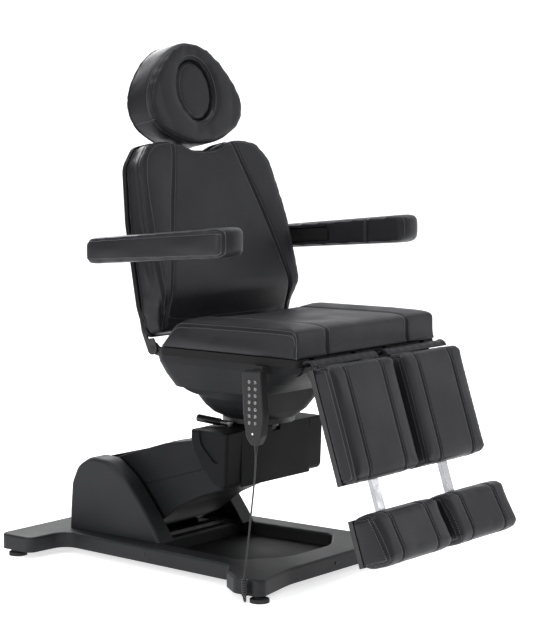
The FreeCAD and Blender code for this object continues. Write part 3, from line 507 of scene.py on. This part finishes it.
def stitches(name, surface, lines, pitch=0.0062, long=0.0042, radius=0.00042, lift=0.0002):
    """Rows of short threads lying on a surface along lines of points."""
    points, faces = [], []
    for line in lines:
        spots = resample(line, pitch)
        places, normals = onto(surface, spots)
        ways = np.gradient(places, axis=0)
        for place, normal, way in zip(places, normals, ways):
            way = way - normal * way.dot(normal)
            size = np.linalg.norm(way)
            if size < 1e-6:
                continue
            way /= size
            side = np.cross(normal, way)
            first = len(points)
            for step, rise, thick in ((-0.5, -0.0005, 0.6), (-0.3, lift, 1.0), (0.3, lift, 1.0),
                                      (0.5, -0.0005, 0.6)):
                centre = place + way * long * step + normal * rise
                for j in range(5):
                    turn = 2 * math.pi * j / 5
                    points.append(centre + radius * thick * (side * math.cos(turn)
                                                             + normal * math.sin(turn)))
            for ring in range(3):
                for j in range(5):
                    nj = (j + 1) % 5
                    a = first + ring * 5
                    faces.append((a + j, a + 5 + j, a + 5 + nj, a + nj))
            faces.append(tuple(first + j for j in range(5)))
            faces.append(tuple(first + 15 + j for j in reversed(range(5))))
    return smooth(new_mesh(name, points, faces))


def beside(line, where, offset, axis=0):
    """The line shifted sideways in its part's upright frame."""
    p = upright(line, where)
    p[:, axis] += offset
    return world(p, where)


def double(line, where, gap=0.0045, axis=0):
    return [beside(line, where, -gap, axis), beside(line, where, gap, axis)]


def add_thread(name, surface, lines, body):
    obj = stitches(name, surface, lines)
    dress(obj, "cushion_leather", THREAD_PAINTED_HIGHLIGHT)
    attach(obj, body)
    return obj


def add_welt(name, line, radius, body, closed=False):
    obj = tube(name, line, radius, closed)
    dress(obj, "cushion_leather")
    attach(obj, body)
    return obj


# ---------------------------------------------------------------- the soft parts, in order

SEAT_SKIN, BACK_SKIN, HEAD_SKIN, ARM_SKIN, LEG_SKIN = 0.002, 0.001, 0.001, 0.001, 0.001


def shrunk(skin, flat):
    """How much smaller a pad starts on each side; its backed side stays where it is."""
    sides = [[skin, skin], [skin, skin], [skin, skin]]
    axis, side = flat
    sides[axis][0 if side < 0 else 1] = 0.0
    return sides


def pad(name, node, where, skin, flat):
    return start_cushion(name, node, where, shrunk(skin, flat), flat)


ARM_LINE = ((0.0, 0.862), 5.2)
seat = pad("seat_pad", "seat_cushion", LEVEL, SEAT_SKIN, (2, -1))
back = pad("back_pad", "back_cushion", BACK, BACK_SKIN, (1, 1))
head = pad("head_pad", "headrest_cushion", HEAD, HEAD_SKIN, (1, 1))
plug = pad("plug_pad", "face_plug", HEAD, 0.0015, (1, 1))
leg = pad("leg_pad_left", "leg_cushion_left", LEG, LEG_SKIN, (1, 1))
foot = pad("foot_pad_left", "foot_cushion_left", LEG, LEG_SKIN, (1, 1))
arm = pad("arm_rest_left", "arm_pad_left", ARM_LINE, ARM_SKIN, (0, -1))

inflate([(seat, 0.004), (back, 0.0035), (head, 0.0025), (plug, 0.0025), (leg, 0.003), (foot, 0.003),
         (arm, 0.0025)])

# ---- seat: two channels over the bolsters, and a side panel seam at each end ----
SEAT_PROFILE = [(-0.356, 0.612), (-0.358, 0.665), (-0.352, 0.682), (-0.335, 0.689), (-0.150, 0.689),
                (0.020, 0.686), (0.050, 0.678), (0.075, 0.652), (0.101, 0.614)]


def seat_line(x):
    return np.array([(x, y, z) for y, z in SEAT_PROFILE])


def edge_profile(x, drop):
    """The line where the seat's top cover meets a side panel."""
    return np.array([(x, -0.350, 0.612), (x, -0.352, 0.655), (x, -0.345, 0.682 - drop), (x, -0.320, 0.688 - drop),
                     (x, 0.030, 0.684 - drop), (x, 0.052, 0.674 - drop), (x, 0.078, 0.644), (x, 0.096, 0.614)])


seat_channels = [rounded(seat_line(x)) for x in (-0.172, 0.172)]
seat_edges = [rounded(edge_profile(x, 0.006)) for x in (-0.302, 0.302)]


def seat_crown(co):
    """The middle of the seat lies a little lower than its side bolsters."""
    top = np.clip((co[:, 2] - 0.650) / 0.035, 0, 1)
    across = np.abs(co[:, 0])
    front = np.clip((co[:, 1] + 0.330) / 0.08, 0, 1)
    bolster = np.exp(-((across - 0.235) / 0.045) ** 2) * 0.006
    hollow = np.exp(-(across / 0.13) ** 2) * -0.004
    co[:, 2] += top * (bolster + hollow) * (0.35 + 0.65 * front)
    return co


seat_surface = finish_cushion(seat, [(line, 0.0075, 0.0055) for line in seat_channels]
                              + [(line, 0.0022, 0.0040) for line in seat_edges], seat_crown)
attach(seat, "seat")
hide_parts("seat_cushion")
rows = []
for line in seat_channels:
    rows += double(line, LEVEL, 0.0068)
for line, side in zip(seat_edges, (1, -1)):
    rows.append(beside(line, LEVEL, side * 0.008))
    rows.append(line + np.array([0, 0, -0.009]))
add_thread("seat_stitching", seat_surface, rows, "seat")

# ---- backrest ----
BACK_HALF = [(0.000, 0.030), (0.274, 0.030), (0.290, 0.110), (0.285, 0.330), (0.264, 0.480),
             (0.218, 0.531), (0.152, 0.541), (0.095, 0.532), (0.046, 0.514)]
BACK_LOOP = BACK_HALF + [(-x, z) for x, z in reversed(BACK_HALF[1:])]


def back_loop(level, inset):
    """The backrest's outline on a plane, moved inwards."""
    line = []
    for x, z in BACK_LOOP:
        away = np.array([x, z - 0.290])
        size = np.linalg.norm(away)
        away *= (size - inset) / size
        line.append((away[0], level, away[1] + 0.290))
    return world(rounded(line, closed=True), BACK)


back_channels = [world([(side * 0.252, -0.048, 0.040), (side * 0.251, -0.065, 0.085), (side * 0.246, -0.088, 0.130),
                        (side * 0.215, -0.094, 0.240), (side * 0.175, -0.094, 0.370),
                        (side * 0.128, -0.092, 0.500), (side * 0.122, -0.085, 0.532)], BACK) for side in (-1, 1)]
back_channels = [rounded(line) for line in back_channels]
back_edge = back_loop(-0.080, 0.004)


def back_crown(co):
    """The channels divide a fuller middle from raised side wings."""
    p = upright(co, BACK)
    facing = np.clip((-0.060 - p[:, 1]) / 0.025, 0, 1)
    split = np.interp(p[:, 2], [0.03, 0.13, 0.53], [0.252, 0.246, 0.124])
    inside = np.clip(1 - np.abs(p[:, 0]) / split, 0, 1)
    tall = np.sin(np.clip((p[:, 2] - 0.03) / 0.50, 0, 1) * math.pi)
    p[:, 1] -= facing * 0.005 * np.sqrt(inside) * tall
    outer = np.clip((np.abs(p[:, 0]) - split) / 0.05, 0, 1)
    p[:, 1] -= facing * 0.007 * np.sin(outer * math.pi * 0.5) * tall
    p[:, 0] += np.sign(p[:, 0]) * facing * 0.007 * outer
    return world(p, BACK)


back_surface = finish_cushion(back, [(line, 0.0080, 0.0055) for line in back_channels]
                              + [(np.vstack([back_edge, back_edge[:1]]), 0.0018, 0.0035)], back_crown)
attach(back, "back")
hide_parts("back_cushion")
rows = []
for line in back_channels:
    rows += double(line, BACK, 0.0070)
loop = back_loop(-0.086, 0.016)
rows.append(np.vstack([loop, loop[:1]]))
add_thread("back_stitching", back_surface, rows, "back")
rear_line = []
for x, z in BACK_LOOP:
    rear_line.append((x * 1.004, 10e-3 - (z - 0.02) / 15 - 0.0125, z))
rear_line, _ = onto(back_surface, resample(world(rounded(rear_line, closed=True), BACK), 0.008, closed=True))
add_welt("back_welt", rear_line, 0.0030, "back", closed=True)

# ---- headrest and its face plug ----
HEAD_HALF = [(0.000, 0.000), (0.038, 0.000), (0.098, 0.014), (0.150, 0.036), (0.178, 0.060), (0.190, 0.093),
             (0.187, 0.127), (0.170, 0.160), (0.150, 0.184), (0.118, 0.219), (0.080, 0.248), (0.036, 0.269),
             (0.000, 0.271)]
HEAD_LOOP = HEAD_HALF + [(-x, z) for x, z in reversed(HEAD_HALF[1:-1])]
HEAD_MIDDLE = 0.132
OUTLINE_BINS = 120


def head_loop(level, inset):
    line = []
    for x, z in HEAD_LOOP:
        away = np.array([x, z - HEAD_MIDDLE])
        size = np.linalg.norm(away)
        away *= (size - inset) / size
        line.append((away[0], level, away[1] + HEAD_MIDDLE))
    return world(rounded(line, closed=True), HEAD)


def oval(level, grow, count=96):
    half_x, half_z, middle = FACE_HOLE
    turn = np.linspace(0, 2 * math.pi, count, endpoint=False)
    return world(np.column_stack([(half_x + grow) * np.cos(turn), np.full(count, level),
                                  middle + (half_z + grow) * np.sin(turn)]), HEAD)


def closed(line):
    return np.vstack([line, line[:1]])


def even_outline(p):
    """Round the headrest's outline off, seen from the front, so that no straight runs show."""
    turn = np.arctan2(p[:, 0], p[:, 2] - HEAD_MIDDLE)
    reach = np.hypot(p[:, 0], p[:, 2] - HEAD_MIDDLE)
    bins = ((turn + math.pi) / (2 * math.pi) * OUTLINE_BINS).astype(int) % OUTLINE_BINS
    edge = np.array([reach[bins == k].max() for k in range(OUTLINE_BINS)])
    spread = np.exp(-0.5 * (np.arange(-9, 10) / 3.2) ** 2)
    even = np.convolve(np.concatenate([edge[-9:], edge, edge[:9]]), spread / spread.sum(), "valid") + 0.003
    where = (turn + math.pi) / (2 * math.pi) * OUTLINE_BINS - 0.5
    ratio = np.interp(where, np.arange(-1, OUTLINE_BINS + 1), np.concatenate([even[-1:], even, even[:1]])
                      / np.concatenate([edge[-1:], edge, edge[:1]]))
    edge_here = np.interp(where, np.arange(-1, OUTLINE_BINS + 1), np.concatenate([edge[-1:], edge, edge[:1]]))
    share = np.clip((reach / edge_here - 0.62) / 0.38, 0, 1)
    scale = 1 + (ratio - 1) * share
    p[:, 0] *= scale
    p[:, 2] = HEAD_MIDDLE + (p[:, 2] - HEAD_MIDDLE) * scale
    return p


def head_crown(co):
    """The face rolls over towards the edge and into the hole."""
    p = upright(co, HEAD)
    half_x, half_z, middle = FACE_HOLE
    facing = np.clip((-0.045 - p[:, 1]) / 0.045, 0, 1)
    out = np.hypot(p[:, 0] / half_x, (p[:, 2] - middle) / half_z)
    ring = np.clip((out - 1.0) / 1.0, 0, 1)
    p[:, 1] -= facing * (0.003 * np.sin(ring * math.pi) - 0.001)
    return world(even_outline(p), HEAD)


head_edge = head_loop(-0.088, 0.006)
head_surface = finish_cushion(head, [(closed(head_edge), 0.0020, 0.0040)], head_crown)
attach(head, "headrest")
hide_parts("headrest_cushion")
rows = [closed(head_loop(-0.079, 0.000)), closed(oval(-0.094, 0.0085))]
for side in (-1, 1):
    rows.append(world([(side * 0.176, -0.085, 0.060), (side * 0.176, -0.012, 0.060)], HEAD))
add_thread("head_stitching", head_surface, rows, "headrest")
hole_line, _ = onto(head_surface, oval(-0.0960, 0.004))
add_welt("head_hole_welt", hole_line, 0.0018, "headrest", closed=True)
head_rear, _ = onto(head_surface, resample(head_loop(-0.010, 0.000), 0.008, closed=True))
add_welt("head_rear_welt", head_rear, 0.0026, "headrest", closed=True)
head_front, _ = onto(head_surface, resample(head_loop(-0.090, 0.004), 0.008, closed=True))
add_welt("head_front_welt", head_front, 0.0018, "headrest", closed=True)

plug_surface = finish_cushion(plug, [(closed(oval(-0.090, -0.010)), 0.0014, 0.0035)])
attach(plug, "face_plug")
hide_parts("face_plug")
add_thread("plug_stitching", plug_surface, [closed(oval(-0.090, -0.013))], "face_plug")

# ---- leg and foot pads, made on the left and mirrored ----


def leg_lines(front, top, low, xs):
    """Lengthwise channels up the face of a pad, over its top and bottom edges."""
    lines = []
    for x in xs:
        lines.append(world([(x, -0.044, top), (x, front[0] + 0.010, top), (x, front[0], top - 0.012),
                            (x, front[1], low + 0.012), (x, front[1] + 0.010, low), (x, -0.046, low)], LEG))
    return [rounded(line) for line in lines]


def leg_edges(front, top, low):
    lines = []
    for x in LEG_X:
        lines.append(world([(x, -0.046, top - 0.004), (x, front[0] + 0.014, top - 0.004),
                            (x, front[0] + 0.006, top - 0.016), (x, front[1] + 0.006, low + 0.016),
                            (x, front[1] + 0.014, low + 0.004), (x, -0.048, low + 0.004)], LEG))
    return [rounded(line) for line in lines]


CHANNELS = (LEG_X[0] + 0.062, LEG_X[1] - 0.062)


def soft_corners(obj, low, high, radius):
    """Pull the corners of a pad's face in to a round plan."""
    co = np.array([v.co[:] for v in obj.data.vertices])
    p = upright(co, LEG)
    for x_edge, sx in ((LEG_X[0], -1), (LEG_X[1], 1)):
        for z_edge, sz in ((low, -1), (high, 1)):
            cx, cz = x_edge - sx * radius, z_edge - sz * radius
            dx, dz = (p[:, 0] - cx) * sx, (p[:, 2] - cz) * sz
            corner = (dx > 0) & (dz > 0)
            reach = np.hypot(dx, dz)
            square = np.maximum(dx, dz)
            scale = np.where(corner & (reach > 1e-6), square / np.maximum(reach, 1e-6), 1.0)
            p[:, 0] = np.where(corner, cx + sx * dx * scale, p[:, 0])
            p[:, 2] = np.where(corner, cz + sz * dz * scale, p[:, 2])
    obj.data.vertices.foreach_set("co", world(p, LEG).astype(np.float32).ravel())
    obj.data.update()


def finish_leg_piece(obj, name, node, body, front, top, low):
    channels = leg_lines(front, top, low, CHANNELS)
    edges = leg_edges(front, top, low)
    soft_corners(obj, low, top, 0.020)
    surface = finish_cushion(obj, [(line, 0.0060, 0.0048) for line in channels]
                             + [(line, 0.0016, 0.0035) for line in edges])
    rows = []
    for line in channels:
        rows += double(line, LEG, 0.0060)
    for line, side in zip(edges, (1, -1)):
        rows.append(beside(line, LEG, side * 0.008))
        rows.append(beside(line, LEG, 0.008, axis=1))
    threads = stitches(name + "_stitching_left", surface, rows)
    dress(threads, "cushion_leather", THREAD_PAINTED_HIGHLIGHT)
    for side, piece, thread in (("left", obj, threads),
                                ("right", mirrored(obj, name + "_pad_right"),
                                 mirrored(threads, name + "_stitching_right"))):
        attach(piece, body + side)
        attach(thread, body + side)
        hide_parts(node + side)


finish_leg_piece(leg, "leg", "leg_cushion_", "leg_", (-0.092, -0.092), -0.008, -0.304)
finish_leg_piece(foot, "foot", "foot_cushion_", "foot_", (-0.110, -0.134), -0.380, -0.512)

# ---- armrests ----
ARM_PROFILE = [(0.253, 0.824), (-0.230, 0.862), (-0.230, 0.935), (0.252, 0.887)]


def arm_crown(co):
    """Rounded ends in plan."""
    y, z, x = co[:, 1].copy(), co[:, 2].copy(), co[:, 0].copy()
    middle = 0.375
    across = (x - middle) / 0.045
    reach = 0.016 * np.clip(np.abs(across), 0, 1.2) ** 2.2
    front = np.clip((-0.150 - y) / 0.08, 0, 1)
    rear = np.clip((y - 0.190) / 0.06, 0, 1)
    co[:, 1] += reach * front - reach * 0.6 * rear
    return co


def arm_loop(x, inset):
    """The armrest's outline in side view on a plane across the bed."""
    centre = np.array([0.011, 0.877])
    line = []
    for y, z in ARM_PROFILE:
        away = np.array([y, z]) - centre
        line.append((x, centre[0] + away[0] * (1 - inset / 0.24), centre[1] + away[1] * (1 - inset / 0.037)))
    dense = resample(np.array(line), 0.02, closed=True)
    return rounded(dense, closed=True, passes=2)


outer_edge, inner_edge = arm_loop(0.4185, 0.002), arm_loop(0.3315, 0.002)
arm_tree = finish_cushion(arm, [(closed(outer_edge), 0.0018, 0.0036), (closed(inner_edge), 0.0018, 0.0036),
                                (np.array([(0.330, -0.101, 0.856), (0.330, -0.101, 0.918)]), 0.003, 0.004)],
                          arm_crown)
arm_rows = [closed(arm_loop(0.412, 0.0)), closed(arm_loop(0.420, 0.009)), closed(arm_loop(0.338, 0.0))]
arm_threads = stitches("arm_stitching_left", arm_tree, arm_rows)
dress(arm_threads, "cushion_leather", THREAD_PAINTED_HIGHLIGHT)
for side, piece, thread in (("left", arm, arm_threads), ("right", mirrored(arm, "arm_rest_right"),
                                                         mirrored(arm_threads, "arm_stitching_right"))):
    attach(piece, "arm_" + side)
    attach(thread, "arm_" + side)
    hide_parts("arm_pad_" + side)


# ---------------------------------------------------------------- hinge flaps

def flap(side_sign, name):
    """The rolled leather strip that covers a leg's hinge, thick at its rim."""
    count, wide = 25, 40
    centre = (-0.379, 0.590)
    turn = np.linspace(math.radians(40), math.radians(160), count)
    xs = np.linspace(0.0200, 0.2870, wide)
    points, faces = [], []
    for radius in (0.0200, 0.0168):
        for x in xs:
            edge = min(x - xs[0], xs[-1] - x)
            rim = 0.0014 * math.exp(-(edge / 0.004) ** 2)
            for angle in turn:
                grow = radius + (rim if radius > 0.019 else -rim)
                sag = 0.0006 * math.sin(x * 180) * math.sin(angle)
                points.append((side_sign * x, centre[0] + (grow + sag) * math.cos(angle),
                               centre[1] + (grow + sag) * math.sin(angle)))
    layer = wide * count
    for k in range(wide - 1):
        for j in range(count - 1):
            a, b = k * count + j, (k + 1) * count + j
            faces.append((a, a + 1, b + 1, b))
            faces.append((layer + a, layer + b, layer + b + 1, layer + a + 1))
    for k in range(wide - 1):
        for j in (0, count - 1):
            a, b = k * count + j, (k + 1) * count + j
            faces.append((a, b, layer + b, layer + a))
    for j in range(count - 1):
        for k in (0, wide - 1):
            a = k * count + j
            faces.append((a, layer + a, layer + a + 1, a + 1))
    obj = smooth(new_mesh(name, points, faces))
    work = bmesh.new()
    work.from_mesh(obj.data)
    bmesh.ops.recalc_face_normals(work, faces=work.faces)
    work.to_mesh(obj.data)
    work.free()
    dress(obj, "cushion_leather")
    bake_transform(obj)
    return obj


for sign, side in ((1, "left"), (-1, "right")):
    roll = flap(sign, "flap_roll_" + side)
    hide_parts("hinge_flap_" + side)


# ---------------------------------------------------------------- handset

def disc_piece(centre, radius, depth, sides=24):
    """Short round boss standing out towards -X with a rounded rim."""
    x, y, z = centre
    rings = [(0.0, radius), (depth * 0.6, radius), (depth * 0.9, radius * 0.93), (depth, radius * 0.8)]
    points, faces = [], []
    for out, size in rings:
        for j in range(sides):
            turn = 2 * math.pi * j / sides
            points.append((x - out, y + size * math.cos(turn), z + size * math.sin(turn)))
    for k in range(len(rings) - 1):
        for j in range(sides):
            nj = (j + 1) % sides
            faces.append((k * sides + j, k * sides + nj, (k + 1) * sides + nj, (k + 1) * sides + j))
    faces.append(tuple((len(rings) - 1) * sides + j for j in range(sides)))
    faces.append(tuple(reversed(range(sides))))
    return points, faces


def joined(name, parts):
    points, faces = [], []
    for some_points, some_faces in parts:
        first = len(points)
        points += list(some_points)
        faces += [tuple(i + first for i in face) for face in some_faces]
    return new_mesh(name, points, faces)


def stroke(face_x, line, width):
    """A printed line of small thickness on the handset's face, as (y, z) points."""
    points, faces = [], []
    p = np.array(line, float)
    for k in range(len(p) - 1):
        a, b = p[k], p[k + 1]
        way = (b - a) / max(1e-9, np.linalg.norm(b - a))
        side = np.array([-way[1], way[0]]) * width / 2
        corners = [a - side, b - side, b + side, a + side]
        first = len(points)
        for x in (face_x, face_x - 0.00025):
            points += [(x, c[0], c[1]) for c in corners]
        for quad in ((0, 1, 2, 3), (7, 6, 5, 4), (0, 4, 5, 1), (1, 5, 6, 2), (2, 6, 7, 3), (3, 7, 4, 0)):
            faces.append(tuple(first + i for i in quad))
    return points, faces


def ring_points(y, z, radius, start=0, end=360, count=14):
    return [(y + radius * math.cos(math.radians(t)), z + radius * math.sin(math.radians(t)))
            for t in np.linspace(start, end, count)]


shell_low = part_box("handset_shell")[0]
KEY_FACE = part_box("handset_keypad")[0][0] - 0.00005
marks = []
for row in range(7):
    for column in range(2):
        y = -0.254 + 0.019 * column
        z = 0.552 - 0.017 * row
        kind = row if row < 6 else 6
        up = 1 if column == 0 else -1
        marks.append(stroke(KEY_FACE, ring_points(y, z, 0.0036, 20, 340), 0.0005))
        if kind % 3 == 0:
            marks.append(stroke(KEY_FACE, [(y - 0.0016, z - 0.0008 * up), (y, z + 0.0014 * up),
                                           (y + 0.0016, z - 0.0008 * up)], 0.0006))
        elif kind % 3 == 1:
            marks.append(stroke(KEY_FACE, [(y - 0.0018, z - 0.001), (y + 0.0004, z - 0.001),
                                           (y + 0.0018, z + 0.0012)], 0.0006))
        else:
            marks.append(stroke(KEY_FACE, [(y - 0.0016, z), (y + 0.0016, z)], 0.0006))
            marks.append(stroke(KEY_FACE, [(y, z - 0.0016), (y, z + 0.0016)], 0.0006))
mark_print = joined("handset_icons", marks)
dress(mark_print, "key_black", PRINT)
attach(mark_print, "handset")

lamp_points, lamp_faces = disc_piece((shell_low[0] + 0.0002, -0.2445, 0.4225), 0.0030, 0.0009)
lamp = smooth(new_mesh("handset_lamp", lamp_points, lamp_faces))
dress(lamp, "key_black", PRINT)
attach(lamp, "handset")


# ---------------------------------------------------------------- cord

def cord_path():
    """Straight run, curly run and tail as one line of points."""
    line = [Vector(p) for p in CORD_POINTS[:-1]]
    top, bottom = Vector(CORD_POINTS[-1]), Vector(TAIL_POINTS[0])
    way = (bottom - top).normalized()
    side = way.cross(Vector((0, 1, 0))).normalized()
    other = way.cross(side)
    radius = (COIL_DIAMETER - CORD_DIAMETER) / 2
    steps = COIL_TURNS * 12
    line.append(top)
    for k in range(steps + 1):
        share = k / steps
        turn = 2 * math.pi * COIL_TURNS * share
        ease = min(1.0, share * COIL_TURNS * 1.6, (1 - share) * COIL_TURNS * 1.6)
        centre = top + (bottom - top) * (0.03 + 0.94 * share)
        line.append(centre + (side * math.cos(turn) + other * math.sin(turn)) * radius * ease)
    line.append(bottom)
    line += [Vector(p) for p in TAIL_POINTS[1:]]
    return line


def spline_object(name, points, diameter):
    data = bpy.data.curves.new(name, "CURVE")
    data.dimensions = "3D"
    data.bevel_depth = diameter / 2
    data.bevel_resolution = 4
    data.resolution_u = 6
    data.use_fill_caps = True
    spline = data.splines.new("NURBS")
    spline.points.add(len(points) - 1)
    for point, place in zip(spline.points, points):
        point.co = (*place, 1)
    spline.order_u = 3
    spline.use_endpoint_u = True
    obj = bpy.data.objects.new(name, data)
    scene.collection.objects.link(obj)
    return obj


def spline_length(obj):
    """Length of the curve's centreline, measured with its thickness off."""
    depth = obj.data.bevel_depth
    obj.data.bevel_depth = 0
    bpy.context.view_layer.update()
    thin = obj.evaluated_get(bpy.context.evaluated_depsgraph_get()).to_mesh()
    total = sum((thin.vertices[a].co - thin.vertices[b].co).length
                for a, b in (edge.vertices for edge in thin.edges))
    obj.data.bevel_depth = depth
    bpy.context.view_layer.update()
    return total


cord = spline_object("handset_lead", cord_path(), CORD_DIAMETER)
dress(cord, "cord_jacket")
cord_length = spline_length(cord)
print("cord length", cord_length)
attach(cord, "handset")
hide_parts("handset_cord", "cord_coil")


def boot(name, line, radii, sides=20):
    """Tapered sleeve along a line."""
    line = [Vector(p) for p in line]
    points, faces = [], []
    for k, (place, radius) in enumerate(zip(line, radii)):
        way = (line[min(k + 1, len(line) - 1)] - line[max(k - 1, 0)]).normalized()
        side = way.cross(Vector((1, 0, 0.01))).normalized()
        other = way.cross(side)
        for j in range(sides):
            turn = 2 * math.pi * j / sides
            points.append(place + (side * math.cos(turn) + other * math.sin(turn)) * radius)
    for k in range(len(line) - 1):
        for j in range(sides):
            nj = (j + 1) % sides
            faces.append((k * sides + j, (k + 1) * sides + j, (k + 1) * sides + nj, k * sides + nj))
    faces.append(tuple(range(sides)))
    faces.append(tuple((len(line) - 1) * sides + j for j in reversed(range(sides))))
    return smooth(new_mesh(name, points, faces))


start, after = Vector(CORD_POINTS[0]), Vector(CORD_POINTS[1])
way = (after - start).normalized()
relief_radii = [0.0050, 0.0050, 0.0042, 0.0047, 0.0039, 0.0044, 0.0036, 0.0041, 0.0033, 0.0030, 0.0026]
relief = boot("strain_relief", [start + way * (0.0026 * k - 0.003) for k in range(len(relief_radii))], relief_radii)
dress(relief, "device_plastic")
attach(relief, "handset")


# ---------------------------------------------------------------- floor and light

def wide_floor():
    size, rise = 14.0, 6.0
    rows = 24
    points, faces = [], []
    for k in range(rows + 1):
        if k < 4:
            y, z = -size + (size + 4.0) * k / 4, 0.0
        else:
            turn = (k - 4) / (rows - 4) * math.pi / 2
            y, z = 4.0 + 3.0 * math.sin(turn), 3.0 * (1 - math.cos(turn))
        for x in (-size, size):
            points.append((x, y, z))
    for x in (-size, size):
        points.append((x, 7.0, rise + 3))
    for k in range(rows + 1):
        a = 2 * k
        faces.append((a, a + 1, a + 3, a + 2))
    obj = smooth(new_mesh("studio_floor", points, faces))
    turn = math.radians(-51.12)
    for v in obj.data.vertices:
        x, y = v.co.x, v.co.y
        v.co.x, v.co.y = x * math.cos(turn) - y * math.sin(turn), x * math.sin(turn) + y * math.cos(turn)
    return obj


floor = wide_floor()
pale = Shader("pale_floor", (0.86, 0.86, 0.87), 0.85, specular=0.1)
pale.vary("Roughness", pale.noise(2, 2), 0.82, 0.88)
pale.main.inputs["Emission Color"].default_value = (1, 1, 1, 1)
pale.main.inputs["Emission Strength"].default_value = 0.68
floor.data.materials.append(pale.material)


def light(name, place, target, size, power, color=(1, 1, 1)):
    data = bpy.data.lights.new(name, "AREA")
    data.shape = "RECTANGLE"
    data.size, data.size_y = size
    data.energy = power
    data.color = color
    obj = bpy.data.objects.new(name, data)
    obj.location = place
    aim(obj, target)
    scene.collection.objects.link(obj)
    return obj


MIDDLE = (0, 0, 0.7)
light("key", (-1.0, -3.2, 3.4), MIDDLE, (2.2, 1.4), 46)
light("left_strip", (-3.6, 0.6, 1.9), MIDDLE, (0.7, 2.6), 66)
light("right_strip", (2.6, -2.6, 1.7), MIDDLE, (0.7, 2.6), 22)
light("top", (0.2, 0.4, 4.2), MIDDLE, (2.4, 2.4), 88)
light("rear_rim", (1.6, 3.2, 2.6), MIDDLE, (2.2, 1.0), 60)

world_light = bpy.data.worlds.new("studio")
world_light.use_nodes = True
world_light.node_tree.nodes["Background"].inputs["Color"].default_value = (0.95, 0.97, 1.0, 1)
world_light.node_tree.nodes["Background"].inputs["Strength"].default_value = 0.28
scene.world = world_light
scene.view_settings.view_transform = "Standard"
